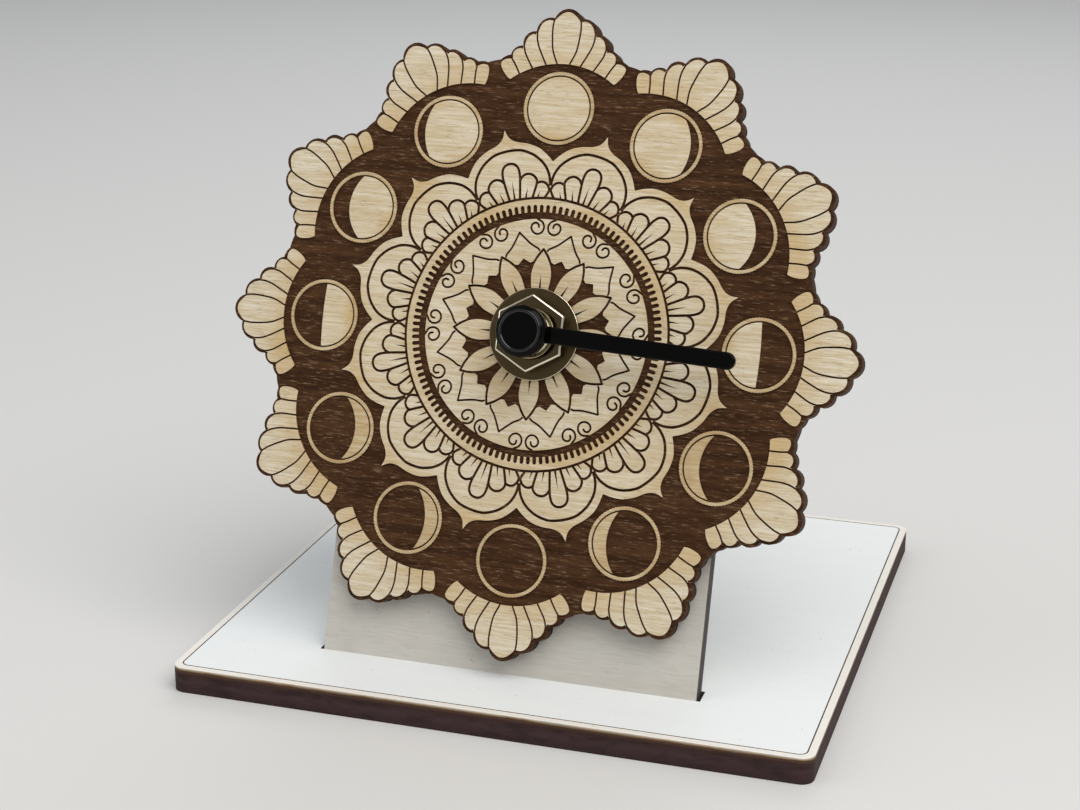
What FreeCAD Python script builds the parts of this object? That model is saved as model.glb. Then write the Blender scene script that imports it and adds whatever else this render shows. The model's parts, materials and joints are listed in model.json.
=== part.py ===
import FreeCAD, Part
import math
import os

# A desk clock whose one hand goes round a wooden dial of twelve moon phases once a lunar month.
# A base plate lies on the table. A panel leans back out of a slanted slot in it. The dial lies on
# the panel, and a quartz movement behind them is clamped by a nut on its threaded bushing.
# Millimetres, +Z up, front towards -Y. The origin is the middle of the base's underside.
# The dial frame, used for all that leans: x to the right, y up the panel, z out of its front face.

V = FreeCAD.Vector
os.makedirs("parts", exist_ok=True)

# ---------------------------------------------------------------- stand
base_width = 120.2
base_depth = 114.0
base_thick = 5.0
base_corner_r = 2.5
panel_width = 72.0
panel_thick = 4.0
panel_lean = 19.5          # degrees back from upright
panel_setback = 15.9       # from the base's front edge to the panel's face, at the base's top
panel_above_axis = 34.0
axis_height = 62.6         # from the base's top up the panel to the dial's centre
slot_end_gap = 0.7

# ---------------------------------------------------------------- dial
phases = 12
dial_thick = 4.0
carve_depth = 0.4
moon_circle_r = 41.5
moon_r = 6.65
valley_rise = 9.95         # of the outline between two fans, outside the moon circle
fan_base_r = 16.35
fan_base_drop = 8.2        # of the centre of the fan's base arc, inside the moon circle
petal_tip_r = 38.1
petal_valley_r = 31.75
band_outer_r = 23.3
band_inner_r = 21.1

# A fan's right half, seen from its moon's centre: the crowns of its lobes and the notches between.
fan_crowns = [(0.0, 18.4), (4.9, 16.0), (7.45, 13.45), (9.5, 10.8), (11.3, 9.1)]
fan_notches = [(2.55, 16.6), (5.85, 14.0), (8.1, 11.25), (10.3, 9.45), (12.1, 8.45)]
fan_heel = (11.7, 6.6)
fan_heel_end = (9.95, 5.0)
# Half a lotus petal, from the dial's centre: its hollow neck, shoulder and round cheek.
petal_neck = (1.0, 36.2)
petal_shoulder = (2.1, 35.4)
petal_cheek = (5.6, 33.95)

# The light part of each moon, clockwise from the top: the side that is lit, and how far towards
# the dark side the shadow's edge lies at the rim and in the middle, as shares of the radius.
LEFT = -1
RIGHT = 1
moon_phases = [(LEFT, 1.0, 1.0), (LEFT, 0.55, 0.78), (LEFT, 0.08, 0.48), (LEFT, 0.0, 0.04),
               (LEFT, -0.15, -0.52), (LEFT, -0.28, -0.58), (LEFT, -1.0, -1.0),
               (RIGHT, -0.28, -0.58), (RIGHT, -0.15, -0.52), (RIGHT, 0.0, 0.04),
               (RIGHT, 0.08, 0.48), (RIGHT, 0.55, 0.78)]

# ---------------------------------------------------------------- clamping stack
bushing_r = 4.0
bushing_bore_r = 2.55
bushing_flange_r = 5.5
bushing_flange_thick = 0.7
bushing_reach = 9.0        # in front of the panel's face
bushing_hole_gap = 0.1
gasket_r = 11.0
gasket_thick = 0.8
washer_r = 8.5
washer_thick = 0.8
nut_across_flats = 12.4
nut_thick = 3.0
nut_chamfer = 0.5
nut_countersink = 0.7

# ---------------------------------------------------------------- hand
hub_back = 9.3             # in front of the panel's face
hub_front = 14.0
hub_r = 4.75
hub_cap_thick = 2.4
hub_neck_r = 3.4
hub_bevel = 1.0
hand_reach = 39.0
hand_width = 3.1
hand_thick = 1.6
hand_lift = 0.9            # from the hub's back to the hand's back
hand_angle = -2.8          # degrees, where it points in the photographed clock
arbor_r = 2.5
arbor_seat_r = 1.6         # where the setting wheel is pressed on
arbor_journal_r = 1.2      # where the moon wheel runs
nose_r = 2.0
nose_reach = 3.2           # into the hub

# ---------------------------------------------------------------- movement
case_depth = 16.0
case_wall = 1.5
case_corner_r = 3.0
cover_thick = 1.5
cover_seat_width = 0.65    # of the bay's wall, under the cover's lower edge
bay_wall = 1.3             # between the battery and the wheels
battery_r = 7.25
battery_length = 49.5      # without its nub
nub_length = 1.0
nub_r = 2.75
battery_gap = 0.15
battery_back_gap = 0.3     # between the battery and whatever the case's back leans on
contact_thick = 0.4
contact_width = 4.0
contact_bow_height = 1.0   # of the sprung contact on the minus end
contact_bow_half = 4.0
contact_foot = 1.0         # of its strip, beyond the bow
contact_boss = 0.7         # pressed out of the plus contact to meet the nub
contact_boss_r = 1.9
contact_tail = 3.0         # of the plus contact, below the battery's axis
contact_tongue = 4.0       # of the plus contact, up the board's edge
thumb_notch_r = 6.0

running_gap = 0.05         # radial, of every journal in its hole
end_gap = 0.2
staff_r = 0.4              # of each thin staff, and of its pivots
pivot_depth = 0.7
module = 0.3
addendum = 0.85            # in modules, as is the next
dedendum = 1.15
wheel_thick = 0.8
storey_gap = 0.6
front_gap = 0.5            # between the case's front wall and the first wheel
wheel_room = 1.3           # between the moon wheel and the bay's wall
leaves = 6                 # of every pinion in the going train
# From the moon wheel to the rotor: with the leaves, one turn of the hand takes 29.5 days.
wheel_teeth = [59, 48, 48, 45, 45, 36, 36]
# The direction, in degrees, from each arbor to the next one towards the rotor.
train_turns = [150.0, 215.0, 95.0, 75.0, -20.0, 20.0, 10.0]

setting_module = 0.35
setting_teeth = 46
knob_teeth = 16
knob_direction = 20.0
knob_stem_r = 1.5
knob_pivot_r = 0.8
knob_r = 5.0
knob_thick = 3.6
knob_gap = 0.3
knob_ridges = 30
knob_ridge_depth = 0.35
clutch_r = 1.9
clutch_thick = 0.35

core_storey = 4            # the coil's core lies in front of this wheel's storey
board_storey = 6           # and the circuit board level with this one
rotor_r = 3.0
magnet_length = 3.0
rotor_air_gap = 0.35
stator_thick = 1.0
stator_arm = 3.6
stator_ring = 1.6          # of metal round the rotor's window
stator_drop = 7.0          # from the rotor down to the bend in the lower arm
core_width = 3.0
core_overhang = 2.2        # from the coil's end to the middle of the stator's joint
core_gap = 0.4             # between the core and the wheels in front of it
coil_side_gap = 2.1        # between the bobbin and the case's side wall
coil_arm_gap = 0.6         # between the coil and the stator's upright arm
coil_bottom = -1.0
coil_length = 18.0
coil_r = 3.0
bobbin_wall = 0.8
bobbin_sleeve = 0.7
bobbin_rim = 0.4
board_width = 14.5
board_height = 8.0
board_thick = 0.8
board_gap = 0.1            # between the board and the bay's wall
post_r = 1.2
post_inset = 0.4
crystal_r = 1.05
crystal_length = 6.2
crystal_gap = 0.3          # to the board's edge
chip_width = 4.0
chip_height = 0.8
chip_gap = 0.4             # to the board's edge

# ---------------------------------------------------------------- levels, in the dial frame's z
lean = math.radians(panel_lean)
case_front = -panel_thick - gasket_thick
case_back = case_front - case_depth
floor_z = case_front - case_wall
cover_z = case_back + cover_thick
setting_z = floor_z - front_gap
level_pitch = wheel_thick + storey_gap
first_level = setting_z - level_pitch

# ---------------------------------------------------------------- the case, round what it holds
moon_wheel_tip_r = module * (wheel_teeth[0] / 2 + addendum)
train_bottom = -moon_wheel_tip_r - wheel_room
bay_top = train_bottom - bay_wall
battery_z = case_back + battery_back_gap + battery_r
battery_y = bay_top - battery_gap - battery_r
case_height = 2 * (case_wall + battery_gap + battery_r - battery_y)
cell_room = contact_bow_height + battery_length + nub_length + contact_boss
cavity_half = cell_room / 2 + contact_thick
case_width = 2 * (cavity_half + case_wall)
coil_x = cavity_half - coil_side_gap - coil_r - bobbin_rim
face_y = -base_depth / 2 + panel_setback
dial_front = dial_thick
washer_z = dial_front + washer_thick
nut_z = washer_z + nut_thick


def level(index):
    """The front of the wheels on one storey of the train."""
    return first_level - index * level_pitch


def lean_back(shape):
    """Take a shape from the dial frame to its place on the clock."""
    placed = shape.copy()
    placed.rotate(V(0, 0, 0), V(1, 0, 0), 90 - panel_lean)
    rise = axis_height * math.cos(lean)
    placed.translate(V(0, face_y + axis_height * math.sin(lean), base_thick + rise))
    return placed


def save(name, shape):
    """Write one sub-part, and say how large it is and how many solids it has."""
    shape.exportStep("parts/" + name + ".step")
    print(name, len(shape.Solids), round(shape.Volume, 2), shape.isValid())


# ---------------------------------------------------------------- helpers
def turned(point, degrees):
    angle = math.radians(degrees)
    c = math.cos(angle)
    s = math.sin(angle)
    return (point[0] * c - point[1] * s, point[0] * s + point[1] * c)


def polar(radius, degrees):
    return turned((radius, 0.0), degrees)


def arc(a, b, c):
    return Part.Arc(V(a[0], a[1], 0), V(b[0], b[1], 0), V(c[0], c[1], 0)).toShape()


def line(a, b):
    return Part.makeLine(V(a[0], a[1], 0), V(b[0], b[1], 0))


def slab(edges, low, high):
    """A solid between two heights over a closed outline."""
    face = Part.Face(Part.Wire(edges))
    face.translate(V(0, 0, low))
    return face.extrude(V(0, 0, high - low))


def drum(radius, low, high, at=(0.0, 0.0)):
    return Part.makeCylinder(radius, high - low, V(at[0], at[1], low))


def tube(outer, inner, low, high, at=(0.0, 0.0)):
    return drum(outer, low, high, at).cut(drum(inner, low, high, at))


def block(x0, x1, y0, y1, low, high):
    return Part.makeBox(x1 - x0, y1 - y0, high - low, V(x0, y0, low))


def round_block(width, height, radius, low, high):
    """An upright box about the axis with rounded corners."""
    box = block(-width / 2, width / 2, -height / 2, height / 2, low, high)
    upright = [e for e in box.Edges if abs(e.Vertexes[0].Z - e.Vertexes[1].Z) > 0.9 * (high - low)]
    return box.makeFillet(radius, upright)


def bar(a, b, width, low, high):
    """A straight arm with round ends."""
    length = math.hypot(b[0] - a[0], b[1] - a[1])
    angle = math.degrees(math.atan2(b[1] - a[1], b[0] - a[0]))
    arm = block(0, length, -width / 2, width / 2, low, high)
    arm.rotate(V(0, 0, 0), V(0, 0, 1), angle)
    arm.translate(V(a[0], a[1], 0))
    return arm.fuse([drum(width / 2, low, high, a), drum(width / 2, low, high, b)]).removeSplitter()


# ---------------------------------------------------------------- stand
def make_panel():
    """The leaning board, cut level where it stands on the table, bored for the bushing."""
    low = -axis_height - base_thick / math.cos(lean) - panel_thick * math.tan(lean)
    board = block(-panel_width / 2, panel_width / 2, low, panel_above_axis, -panel_thick, 0)
    board = board.cut(drum(bushing_r + bushing_hole_gap, -panel_thick, 0))
    board = lean_back(board)
    table = Part.makeBox(2 * base_width, 2 * base_depth, base_thick * 4,
                         V(-base_width, -base_depth, -base_thick * 4))
    return board.cut(table)


def make_base():
    plate = round_block(base_width, base_depth, base_corner_r, 0, base_thick)
    half = panel_width / 2 + slot_end_gap
    low = -axis_height - 3 * base_thick
    slot = lean_back(block(-half, half, low, 0, -panel_thick, 0))
    return plate.cut(slot)


# ---------------------------------------------------------------- dial
def mirrored(point):
    return (-point[0], point[1])


def fan_points():
    """The lobes of one fan from its left end to its right: notch, crown, notch and so on."""
    right = []
    for crown, notch in zip(fan_crowns, fan_notches):
        right += [crown, notch]
    left = [mirrored(p) for p in reversed(right[1:])]
    return [(x, y + moon_circle_r) for x, y in left + right]


def chain(points):
    """Arcs through every second point."""
    return [arc(points[i], points[i + 1], points[i + 2]) for i in range(0, len(points) - 2, 2)]


def step():
    return 360.0 / phases


def dial_outline():
    points = []
    for k in range(phases):
        points += [turned(p, -k * step()) for p in fan_points()]
        points.append(turned((0.0, moon_circle_r + valley_rise), -(k + 0.5) * step()))
    points.append(points[0])
    return chain(points)


def raised_fan(low, high):
    top = fan_points()
    heel = [(x, y + moon_circle_r) for x, y in (fan_heel, fan_heel_end)]
    centre = moon_circle_r - fan_base_drop
    edges = chain(top)
    edges.append(arc(top[-1], heel[0], heel[1]))
    edges.append(arc(heel[1], (0.0, centre + fan_base_r), mirrored(heel[1])))
    edges.append(arc(mirrored(heel[1]), mirrored(heel[0]), top[0]))
    return slab(edges, low, high)


def lotus(low, high):
    """Twelve ogee petals whose points reach up between the moons."""
    edges = []
    for k in range(phases):
        turn = -(k + 0.5) * step()
        valley = turned((0.0, petal_valley_r), 0.5 * step())
        half = [valley, mirrored(petal_cheek), mirrored(petal_shoulder), mirrored(petal_neck)]
        tip = (0.0, petal_tip_r)
        whole = half + [tip] + [mirrored(p) for p in reversed(half)]
        edges += chain([turned(p, turn) for p in whole])
    return slab(edges, low, high)


def lit_moon(lit_side, at_rim, at_middle, radius, low, high):
    """The light part of a moon: its bright rim, closed by the shadow's round edge."""
    if at_middle == 1.0:
        return drum(radius, low, high)
    horn_x = -lit_side * at_rim * radius
    horn_y = radius * math.sqrt(1 - at_rim ** 2)
    rim = arc((horn_x, horn_y), (lit_side * radius, 0.0), (horn_x, -horn_y))
    shadow = arc((horn_x, -horn_y), (-lit_side * at_middle * radius, 0.0), (horn_x, horn_y))
    return slab([rim, shadow], low, high)


def raised_moon(index, low, high):
    """The lit part of one moon, upright on the clock whatever its place on the dial."""
    shape = lit_moon(*moon_phases[index], moon_r, low, high)
    x, y = turned((0.0, moon_circle_r), -index * step())
    shape.translate(V(x, y, 0))
    return shape


def make_dial():
    carve_z = dial_front - carve_depth
    plate = slab(dial_outline(), 0, carve_z)
    raised = []
    for k in range(phases):
        fan = raised_fan(carve_z, dial_front)
        fan.rotate(V(0, 0, 0), V(0, 0, 1), -k * step())
        raised.append(fan)
        if moon_phases[k][2] > -1.0:
            raised.append(raised_moon(k, carve_z, dial_front))
    band = tube(band_outer_r, band_inner_r, carve_z, dial_front)
    raised.append(lotus(carve_z, dial_front).cut(band))
    plate = plate.fuse(raised)
    plate = plate.cut(drum(bushing_r + bushing_hole_gap, 0, dial_front))
    return lean_back(plate.removeSplitter())


# ---------------------------------------------------------------- clamping stack
def make_bushing():
    collar_z = floor_z + bushing_flange_thick
    body = drum(bushing_r, floor_z, bushing_reach).fuse(drum(bushing_flange_r, floor_z, collar_z))
    body = body.cut(drum(bushing_bore_r, floor_z, bushing_reach))
    return lean_back(body.removeSplitter())


def make_nut():
    corner_r = nut_across_flats / math.sqrt(3)
    points = [polar(corner_r, 30 + 60 * i) for i in range(6)]
    edges = [line(points[i], points[(i + 1) % 6]) for i in range(6)]
    body = slab(edges, washer_z, nut_z)
    cone_r = corner_r + nut_thick - nut_chamfer
    top_r = corner_r - nut_chamfer
    cone = Part.makeCone(cone_r, top_r, nut_thick, V(0, 0, washer_z))
    body = body.common(cone).cut(drum(bushing_r, washer_z, nut_z))
    countersink = Part.makeCone(bushing_r, bushing_r + nut_countersink, nut_countersink,
                                V(0, 0, nut_z - nut_countersink))
    return lean_back(body.cut(countersink))


# ---------------------------------------------------------------- hand
def make_hand():
    """A moulded hub, a cap on a neck, and the straight hand growing out from under the cap."""
    cap_z = hub_front - hub_cap_thick
    cap = drum(hub_r, cap_z, hub_front)
    rim_edge = [e for e in cap.Edges if e.Vertexes[0].Z > hub_front - 0.01 and len(e.Vertexes) == 1]
    cap = cap.makeChamfer(hub_bevel, rim_edge)
    hub = cap.fuse(drum(hub_neck_r, hub_back, cap_z))
    low = hub_back + hand_lift
    stick = bar((0.0, 0.0), (hand_reach - hand_width / 2, 0.0), hand_width, low, low + hand_thick)
    stick.rotate(V(0, 0, 0), V(0, 0, 1), hand_angle)
    hub = hub.fuse(stick).removeSplitter()
    nose_top = hub_back + nose_reach
    return lean_back(hub.cut(drum(nose_r, hub_back, nose_top)))


def make_arbor():
    """The moon staff: nose in the hub, journal in the bushing, seats for wheels, rear pivot."""
    step_z = setting_z - wheel_thick
    clutch_z = level(0) - wheel_thick - clutch_thick
    body = drum(nose_r, hub_back, hub_back + nose_reach)
    body = body.fuse([
        drum(arbor_r, setting_z, hub_back),
        drum(arbor_seat_r, step_z, setting_z),
        drum(arbor_journal_r, clutch_z, step_z),
        drum(staff_r, cover_z - pivot_depth + end_gap, clutch_z),
    ])
    return lean_back(body.removeSplitter())


# ---------------------------------------------------------------- wheels
def gear(teeth, size, tooth_at, low, high):
    """A wheel of pointed teeth, one of them at the angle tooth_at."""
    pitch_r = size * teeth / 2
    tip_r = pitch_r + addendum * size
    root_r = pitch_r - dedendum * size
    half_pitch = 180.0 / teeth
    points = []
    for k in range(teeth):
        middle = tooth_at + 2 * k * half_pitch
        points.append(polar(tip_r, middle))
        points.append(polar(root_r, middle + half_pitch))
    vectors = [V(x, y, low) for x, y in points]
    face = Part.Face(Part.makePolygon(vectors + vectors[:1]))
    return face.extrude(V(0, 0, high - low))


def leaf_gear(teeth, size, gap_at, low, high):
    """A pinion with the middle of a gap at the angle gap_at."""
    return gear(teeth, size, gap_at + 180.0 / teeth, low, high)


def arbor_places():
    """Where each arbor of the train stands, from the moon wheel's to the rotor's."""
    places = [(0.0, 0.0)]
    for teeth, direction in zip(wheel_teeth, train_turns):
        reach = module * (teeth + leaves) / 2
        dx, dy = polar(reach, direction)
        places.append((places[-1][0] + dx, places[-1][1] + dy))
    return places


def wheel(index, at, tooth_at):
    low = level(index) - wheel_thick
    body = gear(wheel_teeth[index], module, tooth_at, low, level(index))
    body.translate(V(at[0], at[1], 0))
    return body


def pinion(storey, at, came_from, low):
    """Leaves from low to the wheel that they mesh with, with a gap on the line of centres."""
    body = leaf_gear(leaves, module, came_from + 180.0, low, level(storey))
    body.translate(V(at[0], at[1], 0))
    return body


def staff(at):
    """A thin staff whose ends run in the case's front wall and in the cover."""
    reach = pivot_depth - end_gap
    return drum(staff_r, cover_z - reach, floor_z + reach, at)


def make_moon_wheel():
    body = wheel(0, (0.0, 0.0), train_turns[0])
    bore = drum(arbor_journal_r + running_gap, level(0) - wheel_thick, level(0))
    return lean_back(body.cut(bore))


def make_reduction_wheel(index, places):
    at = places[index]
    leaf = pinion(index - 1, at, train_turns[index - 1], level(index))
    parts = [leaf, wheel(index, at, train_turns[index])]
    return lean_back(staff(at).fuse(parts).removeSplitter())


def make_rotor(places):
    at = places[-1]
    storey = len(wheel_teeth) - 1
    leaf = pinion(storey, at, train_turns[storey], level(storey) - wheel_thick)
    return lean_back(staff(at).fuse(leaf).removeSplitter())


# ---------------------------------------------------------------- movement case
def bearing_holes(places, low, high, radius):
    return [drum(radius, low, high, at) for at in places]


def make_case(places, knob_at):
    shell = round_block(case_width, case_height, case_corner_r, case_back, case_front)
    room = block(-cavity_half, cavity_half, train_bottom, case_height / 2 - case_wall,
                 case_back, floor_z)
    bay = block(-cavity_half, cavity_half, bay_top - 2 * (battery_r + battery_gap), bay_top,
                case_back, battery_z)
    cradle = drum(battery_r + battery_gap, -cavity_half, cavity_half)
    cradle.rotate(V(0, 0, 0), V(0, 1, 0), 90)
    cradle.translate(V(0, battery_y, battery_z))
    rebate = block(-case_width, case_width, train_bottom - cover_seat_width, case_height,
                   case_back, cover_z)
    thumb = drum(thumb_notch_r, 0, 2 * case_wall)
    thumb.rotate(V(0, 0, 0), V(1, 0, 0), 90)
    thumb.translate(V(0, -case_height / 2 + case_wall, case_back))
    collar = drum(bushing_flange_r, floor_z, floor_z + bushing_flange_thick)
    neck = drum(bushing_r, floor_z, case_front)
    cuts = [room, bay, cradle, rebate, thumb, collar, neck]
    cuts += bearing_holes(places[1:], floor_z, floor_z + pivot_depth, staff_r + running_gap)
    cuts.append(drum(knob_pivot_r + running_gap, floor_z, floor_z + pivot_depth, knob_at))
    cuts += [make_plus_contact(), make_minus_contact()]
    shell = shell.cut(cuts)
    posts = [drum(post_r, core_z() + stator_thick, floor_z, p) for p in core_ends()]
    posts += [drum(post_r, board_z(), floor_z, p) for p in board_posts()]
    return lean_back(shell.fuse(posts).removeSplitter())


def make_cover(places, knob_at):
    plate = round_block(case_width, case_height, case_corner_r, case_back, cover_z)
    keep = block(-case_width, case_width, train_bottom - cover_seat_width, case_height,
                 case_back, cover_z)
    plate = plate.common(keep)
    holes = bearing_holes(places, cover_z - pivot_depth, cover_z, staff_r + running_gap)
    holes.append(drum(knob_stem_r + running_gap, case_back, cover_z, knob_at))
    return lean_back(plate.cut(holes))


# ---------------------------------------------------------------- coil, stator and electrics
def core_z():
    """The back of the coil's core, which is the front of the stator."""
    return level(core_storey) + core_gap


def core_ends():
    middle = coil_bottom + coil_length / 2
    half = coil_length / 2 + core_overhang
    return [(coil_x, middle + half), (coil_x, middle - half)]


def make_core():
    top, bottom = core_ends()
    return lean_back(bar(bottom, top, core_width, core_z(), core_z() + stator_thick))


def make_stator(places):
    """Two arms in one plate: they hold the rotor between them and meet the core's ends."""
    high = core_z()
    low = high - stator_thick
    rotor_at = places[-1]
    top, bottom = core_ends()
    elbow = (coil_x - coil_r - coil_arm_gap - stator_arm / 2, rotor_at[1] - stator_drop)
    knee = (elbow[0], bottom[1])
    shoulder = (elbow[0], top[1])
    window_r = rotor_r + rotor_air_gap
    plate = drum(window_r + stator_ring, low, high, rotor_at)
    plate = plate.fuse([
        bar(rotor_at, shoulder, stator_arm, low, high),
        bar(shoulder, top, stator_arm, low, high),
        bar(rotor_at, elbow, stator_arm, low, high),
        bar(elbow, knee, stator_arm, low, high),
        bar(knee, bottom, stator_arm, low, high),
    ]).removeSplitter()
    return lean_back(plate.cut(drum(window_r, low, high, rotor_at)))


def coil_drum(radius, start, length):
    at = V(coil_x, start, core_z() + stator_thick / 2)
    return Part.makeCylinder(radius, length, at, V(0, 1, 0))


def sleeve_r():
    """The outside of the bobbin's sleeve, which the wire is wound on."""
    return core_width / 2 + bobbin_sleeve


def make_bobbin():
    top = coil_bottom + coil_length
    flange_r = coil_r + bobbin_rim
    body = coil_drum(sleeve_r(), coil_bottom, coil_length).fuse([
        coil_drum(flange_r, coil_bottom, bobbin_wall),
        coil_drum(flange_r, top - bobbin_wall, bobbin_wall),
    ])
    half = core_width / 2
    tunnel = block(coil_x - half, coil_x + half, coil_bottom, top, core_z(),
                   core_z() + stator_thick)
    return lean_back(body.removeSplitter().cut(tunnel))


def make_winding():
    start = coil_bottom + bobbin_wall
    length = coil_length - 2 * bobbin_wall
    return lean_back(coil_drum(coil_r, start, length).cut(coil_drum(sleeve_r(), start, length)))


def board_z():
    """The front of the circuit board."""
    return level(board_storey)


def board_corner():
    """The board's lower right corner, where it meets the battery contact."""
    return (cavity_half - contact_thick, train_bottom + board_gap)


def board_posts():
    x, y = board_corner()
    inset = post_r + post_inset
    middle = y + board_height / 2
    return [(x - inset, middle), (x - board_width + inset, middle)]


def make_board():
    x, y = board_corner()
    plate = block(x - board_width, x, y, y + board_height, board_z() - board_thick, board_z())
    return lean_back(plate)


def make_crystal():
    x, y = board_corner()
    start = x - board_width / 2 - crystal_length / 2
    at = V(start, y + crystal_gap + crystal_r, board_z() + crystal_r)
    return lean_back(Part.makeCylinder(crystal_r, crystal_length, at, V(1, 0, 0)))


def make_chip():
    x, y = board_corner()
    middle = x - board_width / 2
    top = y + board_height - chip_gap
    half = chip_width / 2
    return lean_back(block(middle - half, middle + half, top - chip_width, top,
                           board_z(), board_z() + chip_height))


def make_battery():
    body = Part.makeCylinder(battery_r, battery_length,
                             V(battery_start(), battery_y, battery_z), V(1, 0, 0))
    nub = Part.makeCylinder(nub_r, nub_length,
                            V(battery_start() + battery_length, battery_y, battery_z), V(1, 0, 0))
    return lean_back(body.fuse(nub).removeSplitter())


def battery_start():
    return -cavity_half + contact_thick + contact_bow_height


def contact_band():
    """The height of both contact strips: a band about the battery's axis."""
    return battery_z - contact_width / 2, battery_z + contact_width / 2


def make_plus_contact():
    """A strip on the right wall, pressed out to meet the battery's nub, and up to the board."""
    low, high = contact_band()
    wall = cavity_half
    face = wall - contact_thick
    strip = block(face, wall, battery_y - contact_tail, bay_top, low, high)
    leg = block(face, wall, bay_top, board_corner()[1] + contact_tongue,
                board_z() - board_thick, high)
    boss = Part.makeCylinder(contact_boss_r, contact_boss,
                             V(face - contact_boss, battery_y, battery_z), V(1, 0, 0))
    return strip.fuse([leg, boss]).removeSplitter()


def make_minus_contact():
    """A bowed strip on the left wall, and a strap along the bay's wall to the board."""
    low, high = contact_band()
    wall = -cavity_half
    face = wall + contact_thick
    foot = battery_y - contact_bow_half - contact_foot
    strip = block(wall, face, foot, train_bottom + contact_thick, low, high)
    bow_low = (face, battery_y - contact_bow_half)
    bow_high = (face, battery_y + contact_bow_half)
    bow = slab([arc(bow_low, (face + contact_bow_height, battery_y), bow_high),
                line(bow_high, bow_low)], low, high)
    strap = block(wall, board_corner()[0] - board_width, train_bottom,
                  train_bottom + contact_thick, low, high)
    return strip.fuse([bow, strap]).removeSplitter()


# ---------------------------------------------------------------- setting knob
def knob_place():
    reach = setting_module * (setting_teeth + knob_teeth) / 2
    return polar(reach, knob_direction)


def make_knob():
    """A ridged thumb knob behind the cover."""
    top = case_back - knob_gap
    points = []
    for k in range(knob_ridges):
        points.append(polar(knob_r, 360.0 * k / knob_ridges))
        points.append(polar(knob_r - knob_ridge_depth, 360.0 * (k + 0.5) / knob_ridges))
    edges = [line(points[i - 1], points[i]) for i in range(len(points))]
    body = slab(edges, top - knob_thick, top)
    body = body.cut(drum(knob_stem_r, top - knob_thick / 2, top))
    x, y = knob_place()
    body.translate(V(x, y, 0))
    return lean_back(body)


def make_knob_pinion():
    at = knob_place()
    leaf = leaf_gear(knob_teeth, setting_module, knob_direction + 180.0,
                     setting_z - wheel_thick, setting_z)
    leaf.translate(V(at[0], at[1], 0))
    top = floor_z - end_gap
    stem = drum(knob_stem_r, case_back - knob_gap - knob_thick / 2, top, at)
    pivot = drum(knob_pivot_r, top, floor_z + pivot_depth - end_gap, at)
    return lean_back(stem.fuse([leaf, pivot]).removeSplitter())


def make_setting_wheel():
    low = setting_z - wheel_thick
    body = gear(setting_teeth, setting_module, knob_direction, low, setting_z)
    return lean_back(body.cut(drum(arbor_seat_r, low, setting_z)))


def make_magnet(places):
    middle = core_z() - stator_thick / 2
    low = middle - magnet_length / 2
    return lean_back(tube(rotor_r, staff_r, low, low + magnet_length, places[-1]))


def make_all():
    places = arbor_places()
    knob_at = knob_place()
    stack_front = case_front + gasket_thick
    save("base_plate", make_base())
    save("upright_panel", make_panel())
    save("dial_plate", make_dial())
    save("rubber_gasket", lean_back(tube(gasket_r, bushing_r, case_front, stack_front)))
    save("washer", lean_back(tube(washer_r, bushing_r, dial_front, washer_z)))
    save("hex_nut", make_nut())
    save("threaded_bushing", make_bushing())
    save("movement_case", make_case(places, knob_at))
    save("movement_cover", make_cover(places, knob_at))
    save("circuit_board", make_board())
    save("quartz_crystal", make_crystal())
    save("clock_chip", make_chip())
    save("coil_core", make_core())
    save("coil_bobbin", make_bobbin())
    save("coil_winding", make_winding())
    save("stator_plate", make_stator(places))
    save("battery_plus_contact", lean_back(make_plus_contact()))
    save("battery_minus_contact", lean_back(make_minus_contact()))
    save("battery_cell", make_battery())
    save("moon_hand", make_hand())
    save("moon_arbor", make_arbor())
    save("setting_wheel", make_setting_wheel())
    low = level(0) - wheel_thick
    save("clutch_spring", lean_back(tube(clutch_r, arbor_journal_r, low - clutch_thick, low)))
    save("moon_wheel", make_moon_wheel())
    for index in range(1, len(wheel_teeth)):
        save("reduction_wheel_" + str(index), make_reduction_wheel(index, places))
    save("rotor_pinion", make_rotor(places))
    save("rotor_magnet", make_magnet(places))
    save("setting_pinion", make_knob_pinion())
    save("setting_knob", make_knob())


make_all()
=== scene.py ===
# %% [markdown]
# # A moon phase desk clock
# The clock is a carved birch dial on a leaning white panel, with one hand that goes round once a
# lunar month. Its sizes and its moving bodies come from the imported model, which is loaded first.
# This script gives every surface its finish, and carves what the plain solids leave out.

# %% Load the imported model
import json
import math

import bmesh
import bpy
from mathutils import Matrix, Vector


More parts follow.
